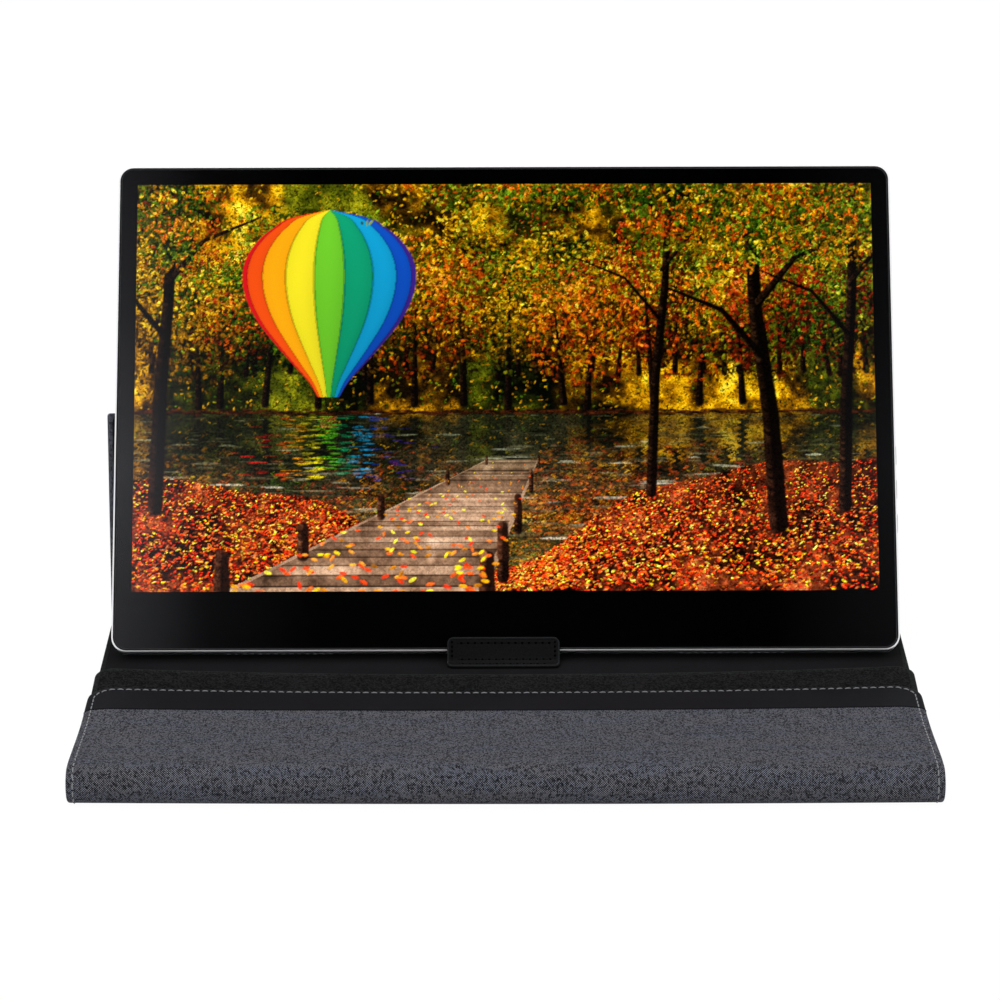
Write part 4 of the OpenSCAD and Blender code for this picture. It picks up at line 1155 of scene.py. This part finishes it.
def lake():
    rows = np.clip(((2 * SHORE - gy) * (ROWS - 1)).astype(int), 0, ROWS - 1)
    shift = (3 * np.sin(gy * 420 + 5 * cloudy(5, 60))).astype(int)
    cols = np.clip(np.arange(COLS)[None, :] + shift, 0, COLS - 1)
    mirror = canvas[rows, cols] * 0.34 + LAKE(0.3 + 0.7 * (cloudy(6, 50, 20) - 0.5)) * 0.62
    below = (gy < SHORE)[..., None]
    canvas[:] = np.where(below, mirror, canvas)
    r = np.random.default_rng(12)
    for _ in range(1500):
        y = SHORE * r.random() ** 0.8
        near = 1 + 5 * (SHORE - y)
        dab(r.random(), y, r.uniform(4, 13) * near, r.uniform(0.5, 0.9) * near, r.normal(0, 0.02),
            LAKE(np.clip(r.normal(0.42, 0.24), 0, 1)), r.uniform(0.25, 0.6))
    for x in np.linspace(0, 1, 260):
        dab(x, SHORE + r.normal(0, 0.003), r.uniform(4, 9), 1.6, 0, SOIL(r.uniform(0.1, 0.6)), 0.8)


def bank(x):
    """Height of the near shore, with the bay in which the jetty starts."""
    bay = 0.21 * np.exp(-((x - 0.47) / 0.17) ** 2)
    return 0.30 - 0.05 * np.sin(3.1 * x + 0.6) - bay + 0.008 * np.sin(31 * x)


LITTER = ((LEAVES, 0.5), (LEAVES, 0.55), (LEAVES, 0.45), (SOIL, 0.2), (SOIL, 0.7), (GOLD, 0.55), (RUST, 0.5),
          (SOIL, 0.05))


def ground():
    edge = bank(gx)
    soil = SOIL(0.40 + 1.6 * (cloudy(7, 40, 12, 5) - 0.5) - 0.5 * np.clip(edge - gy, 0, 0.12))
    canvas[:] = np.where((gy < edge)[..., None], soil, canvas)
    r = np.random.default_rng(13)
    spots = [(r.random(), r.random() ** 0.75) for _ in range(15000)]
    for x, t in sorted(spots, key=lambda q: -q[1] * bank(q[0])):
        y = float(bank(x)) * t
        near = 0.8 + 3.4 * (0.32 - y)
        paint, mean = LITTER[r.integers(8)]
        dab(x, y, near * r.uniform(0.7, 2.0), near * r.uniform(0.4, 0.8), r.normal(0, 0.5),
            paint(np.clip(r.normal(mean, 0.3), 0, 1)), 0.95)


far_side(); lake(); ground()
print("wood, lake and ground painted")

# %% Jetty
def jetty():
    """Planks in perspective, from the lower left out on to the lake."""
    r = np.random.default_rng(14)
    near_l, near_r = np.array([0.10, -0.02]), np.array([0.47, -0.02])
    far_l, far_r = np.array([0.475, 0.318]), np.array([0.545, 0.318])

    def post(side, t, down, up, taper, tone):
        near, far = ((near_l, far_l), (near_r, far_r))[side]
        x, y = near + (far - near) * t
        stroke([(x, y - down), (x, y + up)], 7.5 * (1.2 - t), taper * (1.2 - t), BARK, r, tone)

    for t in (0.34, 0.62, 0.86):
        for side in (0, 1):
            post(side, t, 0.07 * (1.25 - t), 0.035 * (1.3 - t), 7.0, 0.5)
    t = (gy - near_l[1]) / (far_l[1] - near_l[1])
    left, right = near_l[0] + (far_l[0] - near_l[0]) * t, near_r[0] + (far_r[0] - near_r[0]) * t
    across = (gx - left) / np.maximum(right - left, 1e-6)
    inside = (across > 0) & (across < 1) & (t < 1) & (gy >= 0)
    depth = 1.0 / (1.0 - 0.78 * np.clip(t, 0, 1))
    plank = np.floor(depth * 13.0)
    joint = depth * 13.0 - plank
    shade = np.random.default_rng(15).random(200)[np.clip(plank.astype(int), 0, 199)]
    grain = cloudy(8, 26, 9, 4)
    tone = 0.30 + 0.26 * shade + 0.5 * (grain - 0.5) + 0.10 * np.sin(across * 3)
    planks = WOOD(tone) * (0.25 + 0.75 * ease((joint - 0.04) / 0.14) * ease((0.99 - joint) / 0.06))[..., None]
    canvas[inside] = planks[inside]
    crispness[inside] = 0.4
    rim = (np.abs(across - 0.015) < 0.014) | (np.abs(across - 0.985) < 0.014)
    canvas[inside & rim] = WOOD(0.62 + 0.4 * (grain - 0.5))[inside & rim] * 0.9
    for side in (0, 1):
        for t in (0.05, 0.34, 0.62, 0.86, 1.0):
            post(side, t, 0.01, 0.085 * (1.12 - t), 6.5, 0.62)
    for _ in range(260):
        t, a = r.random() ** 1.3, r.random()
        p = (near_l + (far_l - near_l) * t) * (1 - a) + (near_r + (far_r - near_r) * t) * a
        dab(p[0], p[1], 5.2 * (1.08 - t), 2.4 * (1.08 - t), r.normal(0, 0.5),
            (LEAVES, GOLD)[r.integers(2)](r.uniform(0.3, 0.9)), 0.9)


jetty()

# %% Balloon
GORES = [srgb(*c)[:3] for c in ((214, 18, 26), (240, 78, 16), (250, 168, 14), (244, 228, 36), (112, 204, 44),
                                (16, 164, 116), (20, 172, 226), (18, 88, 210), (70, 40, 156))]
HALF_WIDTH = np.array([(-1.0, 0.13), (-0.86, 0.22), (-0.66, 0.41), (-0.44, 0.62), (-0.22, 0.81), (0.0, 0.94),
                       (0.2, 1.0), (0.42, 0.985), (0.62, 0.87), (0.8, 0.66), (0.92, 0.42), (1.0, 0.0)])


def balloon(cx, cy, rx, ry):
    v = (gy - cy) / ry
    wide = np.maximum(smooth_curve(HALF_WIDTH, np.clip(v, -1, 1)), 0.0)
    u = (gx - cx) / np.maximum(rx * wide, 1e-6)
    inside = (np.abs(u) < 1) & (np.abs(v) < 1)
    angle = (np.arcsin(np.clip(u, -1, 1)) / math.pi + 0.5) * len(GORES)
    index = np.clip(angle.astype(int), 0, len(GORES) - 1)
    bulge = np.sin((angle - index) * math.pi)
    light = 0.50 + 0.50 * np.clip(0.72 - 0.55 * u + 0.35 * v, 0, 1) + 0.10 * bulge
    seam = 1 - 0.35 * (np.abs(angle - np.round(angle)) < 0.05)
    colour = np.array(GORES)[index] * (light * seam)[..., None]
    edge = np.clip((1 - np.abs(u)) * rx * COLS * wide, 0, 1)[..., None]
    canvas[inside] = (canvas * (1 - edge) + colour * edge)[inside]
    crispness[inside] = 0.0
    r = np.random.default_rng(16)
    for side in (-1, -0.35, 0.35, 1):
        rope = [(cx + side * rx * 0.12, cy - ry), (cx + side * rx * 0.085, cy - ry * 1.19)]
        stroke(rope, 0.5, 0.5, BARK, r, 0.5)
    for k in range(-5, 6):
        for row in range(6):
            dab(cx + k * 0.0019, cy - ry * (1.21 + 0.022 * row), 1.3, 1.0, 0,
                SOIL(0.75 + 0.18 * ((k + row) % 2) - 0.03 * k), 0.95)


BALLOON_X = 0.262
balloon(BALLOON_X, 0.705, 0.118, 0.232)
# its broken reflection on the lake
r = np.random.default_rng(17)
for _ in range(240):
    x, y = BALLOON_X + r.normal(0, 0.05), 0.27 + 0.155 * r.random()
    gore = GORES[int(np.clip((x - BALLOON_X + 0.1) / 0.2 * len(GORES), 0, len(GORES) - 1))]
    dab(x, y, r.uniform(4, 10), r.uniform(0.6, 1.1), 0, np.array(gore) * 0.55, r.uniform(0.25, 0.6))
print("jetty and balloon painted")

# %% Near trees and hanging leaves
def near_tree(x, foot, lean, girth, seed):
    r = np.random.default_rng(seed)
    bend = [(x, foot), (x + 0.25 * lean, foot + 0.28), (x + 0.75 * lean, foot + 0.52), (x + lean, 1.04)]
    stroke(bend, girth, girth * 0.62, BARK, r, 0.42)
    fork = x + 0.6 * lean
    for k, side in enumerate((-1, 1, -1)):
        up = foot + 0.42 + 0.13 * k
        branch = [(fork, up), (fork + side * 0.05, up + 0.11), (fork + side * 0.13, up + 0.17)]
        stroke(branch, girth * 0.45, girth * 0.16, BARK, r, 0.4)


for near in ((0.865, 0.155, -0.035, 10.0, 31), (0.955, 0.20, 0.02, 7.0, 32), (0.695, 0.235, 0.03, 5.5, 33),
             (0.028, 0.20, 0.02, 8.0, 34)):
    near_tree(*near)


def hanging_leaves(cx, cy, rx, ry, count, seed):
    r = np.random.default_rng(seed)
    for _ in range(count):
        clump_x, clump_y = cx + rx * r.normal(0, 0.5), cy + ry * r.normal(0, 0.5)
        paint = (GREEN, GREEN, OLIVE, GOLD, ORANGE)[r.integers(5)]
        tone = r.normal(0.46, 0.14)
        for _ in range(14):
            dab(clump_x + r.normal(0, 0.012), clump_y + r.normal(0, 0.014), r.uniform(2.0, 4.2),
                r.uniform(1.0, 1.9), r.uniform(0, math.pi), paint(np.clip(tone + r.normal(0, 0.17), 0, 1)), 0.9)


hanging_leaves(0.86, 0.93, 0.17, 0.12, 430, 41)
hanging_leaves(0.55, 1.0, 0.22, 0.05, 170, 42)
hanging_leaves(0.03, 0.93, 0.07, 0.12, 150, 43)
# a last grade: deeper shadows above, a sunlit ground below; the balloon keeps its colours
low = ease((0.42 - gy) / 0.2)[..., None]
tint = np.array([0.9, 1.04, 0.86]) * (1 - low) + np.array([1.04, 0.94, 0.98]) * low
graded = np.clip(canvas, 0, 1) ** 1.25 * (1.24 + 1.9 * low) * tint
canvas[:] = np.where((crispness > 0)[..., None], graded, canvas)
print("picture finished, mean colour", [round(float(v), 3) for v in canvas.mean(axis=(0, 1))])

# %% Display cell with its picture, in four tiles
def span(first, last, count, start, size):
    """Numbers of grid lines and their places, with a border of the cell where the canvas ends, in the canvas's edge
    colours.
    """
    numbers = list(range(first, last + 1))
    places = [start + size / (count - 1) * k for k in numbers]
    if first == 0:
        numbers.insert(0, 0); places.insert(0, places[0] - ACTIVE["edge"])
    if last == count - 1:
        numbers.append(last); places.append(places[-1] + ACTIVE["edge"])
    return numbers, places


def picture_tile(name, x_first, x_last, z_first, z_last):
    """The canvas between two columns and two rows, as a closed plate."""
    cols, xs = span(x_first, x_last, COLS, -ACTIVE["w"] / 2, ACTIVE["w"])
    rows, zs = span(z_first, z_last, ROWS, ACTIVE["z"], ACTIVE["h"])
    nx, nz = len(xs), len(zs)
    front = np.array([(x, ACTIVE["y"], z) for z in zs for x in xs])
    first = len(front)
    edge = list(range(nx)) + [i * nx + nx - 1 for i in range(1, nz)]
    edge += [(nz - 1) * nx + j for j in range(nx - 2, -1, -1)] + [i * nx for i in range(nz - 2, 0, -1)]
    m = len(edge)
    points = in_housing(np.vstack([front, front[edge] + (0, ACTIVE["t"], 0)]))
    faces = [(i * nx + j, i * nx + j + 1, (i + 1) * nx + j + 1, (i + 1) * nx + j)
             for i in range(nz - 1) for j in range(nx - 1)]
    faces += [(edge[(k + 1) % m], edge[k], first + k, first + (k + 1) % m) for k in range(m)]
    faces.append(tuple(range(first + m - 1, first - 1, -1)))
    mesh = plain_mesh(name, points, faces)
    edit_mesh(mesh, cut_wide_faces)
    colours = np.full((len(points), 4), 0.01, np.float32)
    colours[:first, :3] = np.clip(canvas[np.ix_(rows, cols)].reshape(-1, 3), 0, 1)
    colours[:first, 3] = crispness[np.ix_(rows, cols)].ravel()
    layer = mesh.color_attributes.new("picture", "FLOAT_COLOR", "POINT")
    layer.data.foreach_set("color", colours.ravel())
    mesh.materials.append(PICTURE)
    tile = place_object(name, mesh)
    tile.visible_diffuse = tile.visible_glossy = False
    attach(tile, "monitor"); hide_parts("display_cell")


def picture_material():
    """The canvas as light. Small random facets sparkle where the colour's alpha, its crispness, allows."""
    material, tree, shader = new_material("picture", Base_Color=grey(0.0), Roughness=0.6,
                                          Specular_IOR_Level=0.0, Emission_Strength=1.08)
    stored = add(tree, "ShaderNodeAttribute", attribute_name="picture").outputs
    sparkle = scaled(tree, cell_shade(tree, own_place(tree), 1250.0), 1.3, -0.62)
    gain = scaled(tree, sparkle, stored["Alpha"], 1.0)
    gains = add(tree, "ShaderNodeCombineColor", {0: gain, 1: gain, 2: gain}).outputs[0]
    feed(tree, shader.inputs["Emission Color"], blend_colours(tree, 1.0, stored["Color"], gains, "MULTIPLY"))
    material.cycles.emission_sampling = "NONE"
    return material


PICTURE = picture_material()
left, right = (0, (COLS - 1) // 2), ((COLS - 1) // 2, COLS - 1)
bottom, top = (0, (ROWS - 1) // 2), ((ROWS - 1) // 2, ROWS - 1)
picture_tile("picture_low_left", *left, *bottom)
picture_tile("picture_low_right", *right, *bottom)
picture_tile("picture_top_left", *left, *top)
picture_tile("picture_top_right", *right, *top)
print("picture tiles of", right[1] - right[0], "by", top[1] - top[0], "cells")

# %% [markdown]
# ## Studio
# A white room: the floor and the world are white for the camera and in reflections. Large soft
# lamps light the object evenly. The screen faces a dark curtain with one pale edge, which it
# mirrors as a black surface with a soft grey gradient at the left.

# %% Floor, world, curtain and lamps
FLOOR_Z = CAD_BOX[0][2] - 0.2 * MM
FLOOR_REACH = 12
CORNERS = ((-1, -1), (1, -1), (1, 1), (-1, 1))


def seen_directly(tree):
    """1 for the camera's rays and for those of gloss and glass, 0 for the rest."""
    rays = add(tree, "ShaderNodeLightPath").outputs
    through = maths(tree, "MAXIMUM", rays["Is Glossy Ray"], rays["Is Transmission Ray"])
    return maths(tree, "MAXIMUM", rays["Is Camera Ray"], through)


def stage_sheet(name, corners, material):
    mesh = plain_mesh(name, corners, [(0, 1, 2, 3)])
    mesh.materials.append(material)
    obj = place_object(name, mesh)
    return obj


def cleared(holder):
    holder.use_nodes = True
    holder.node_tree.nodes.clear()
    return holder.node_tree


# the floor's own shadow shows faintly through the white that the camera sees
FLOOR, tree, shader = new_material("floor", Base_Color=grey(0.72), Roughness=0.9, Specular_IOR_Level=0.1)
white = add(tree, "ShaderNodeEmission", {"Color": grey(1.0), "Strength": 1.03}).outputs[0]
share = scaled(tree, seen_directly(tree), 0.95)
mixed = add(tree, "ShaderNodeMixShader", {0: share, 1: shader.outputs[0], 2: white}).outputs[0]
feed(tree, tree.nodes["Material Output"].inputs[0], mixed)
stage_sheet("floor", [(x * FLOOR_REACH, y * FLOOR_REACH, FLOOR_Z) for x, y in CORNERS], FLOOR)

scene.world = bpy.data.worlds.new("studio")
tree = cleared(scene.world)
room, bright = (add(tree, "ShaderNodeBackground", {"Color": grey(1.0), "Strength": strength}).outputs[0]
                for strength in (0.45, 1.0))
mixed = add(tree, "ShaderNodeMixShader", {0: seen_directly(tree), 1: room, 2: bright}).outputs[0]
add(tree, "ShaderNodeOutputWorld", {0: mixed})

CURTAIN = bpy.data.materials.new("curtain")
tree = cleared(CURTAIN)
spot = add(tree, "ShaderNodeSeparateXYZ", {0: own_place(tree)}).outputs
across = ramp(tree, scaled(tree, spot[0], 0.2, 0.5), (0.30, grey(0.85)), (0.384, grey(0.62)),
              (0.412, grey(0.09)), (0.445, grey(0.015)), (0.58, grey(0.006)), (0.616, grey(0.09)), (0.70, grey(0.3)))
upward = ramp(tree, scaled(tree, spot[2], 0.8333, -1.6667), (0.10, grey(0.28)), (0.32, grey(0.62)),
              (0.44, grey(1.0)), (0.58, grey(0.5)), (0.80, grey(0.16)))
fade = blend_colours(tree, 1.0, across, upward, "MULTIPLY")
fade = blend_colours(tree, 1.0, fade, (0.96, 0.97, 1.06, 1.0), "MULTIPLY")
glow = add(tree, "ShaderNodeEmission", {"Color": fade, "Strength": 1.0}).outputs[0]
add(tree, "ShaderNodeOutputMaterial", {0: glow})
centre, half_side, half_up = Vector((0, -2.55, 2.6)), Vector((2.5, 0, 0)), Vector((0, 0.69, 0.72)) * 1.5
curtain = stage_sheet("curtain", [centre + half_side * x + half_up * y for x, y in CORNERS], CURTAIN)
curtain.visible_camera = curtain.visible_diffuse = curtain.visible_shadow = False


def area_lamp(name, place, target, size, power):
    data = bpy.data.lights.new(name, "AREA")
    data.shape, data.size, data.energy = "SQUARE", size, power
    lamp = place_object(name, data)
    lamp.location = place
    lamp.rotation_euler = (Vector(target) - Vector(place)).to_track_quat("-Z", "Y").to_euler()
    lamp.visible_glossy = False


area_lamp("key", (-1.2, -1.4, 2.2), (0, -0.05, 0.05), 1.6, 24)
area_lamp("fill", (1.8, -1.0, 1.5), (0, -0.05, 0.05), 1.6, 8)
area_lamp("top", (0.0, 0.6, 2.4), (0, 0, 0.05), 1.8, 18)
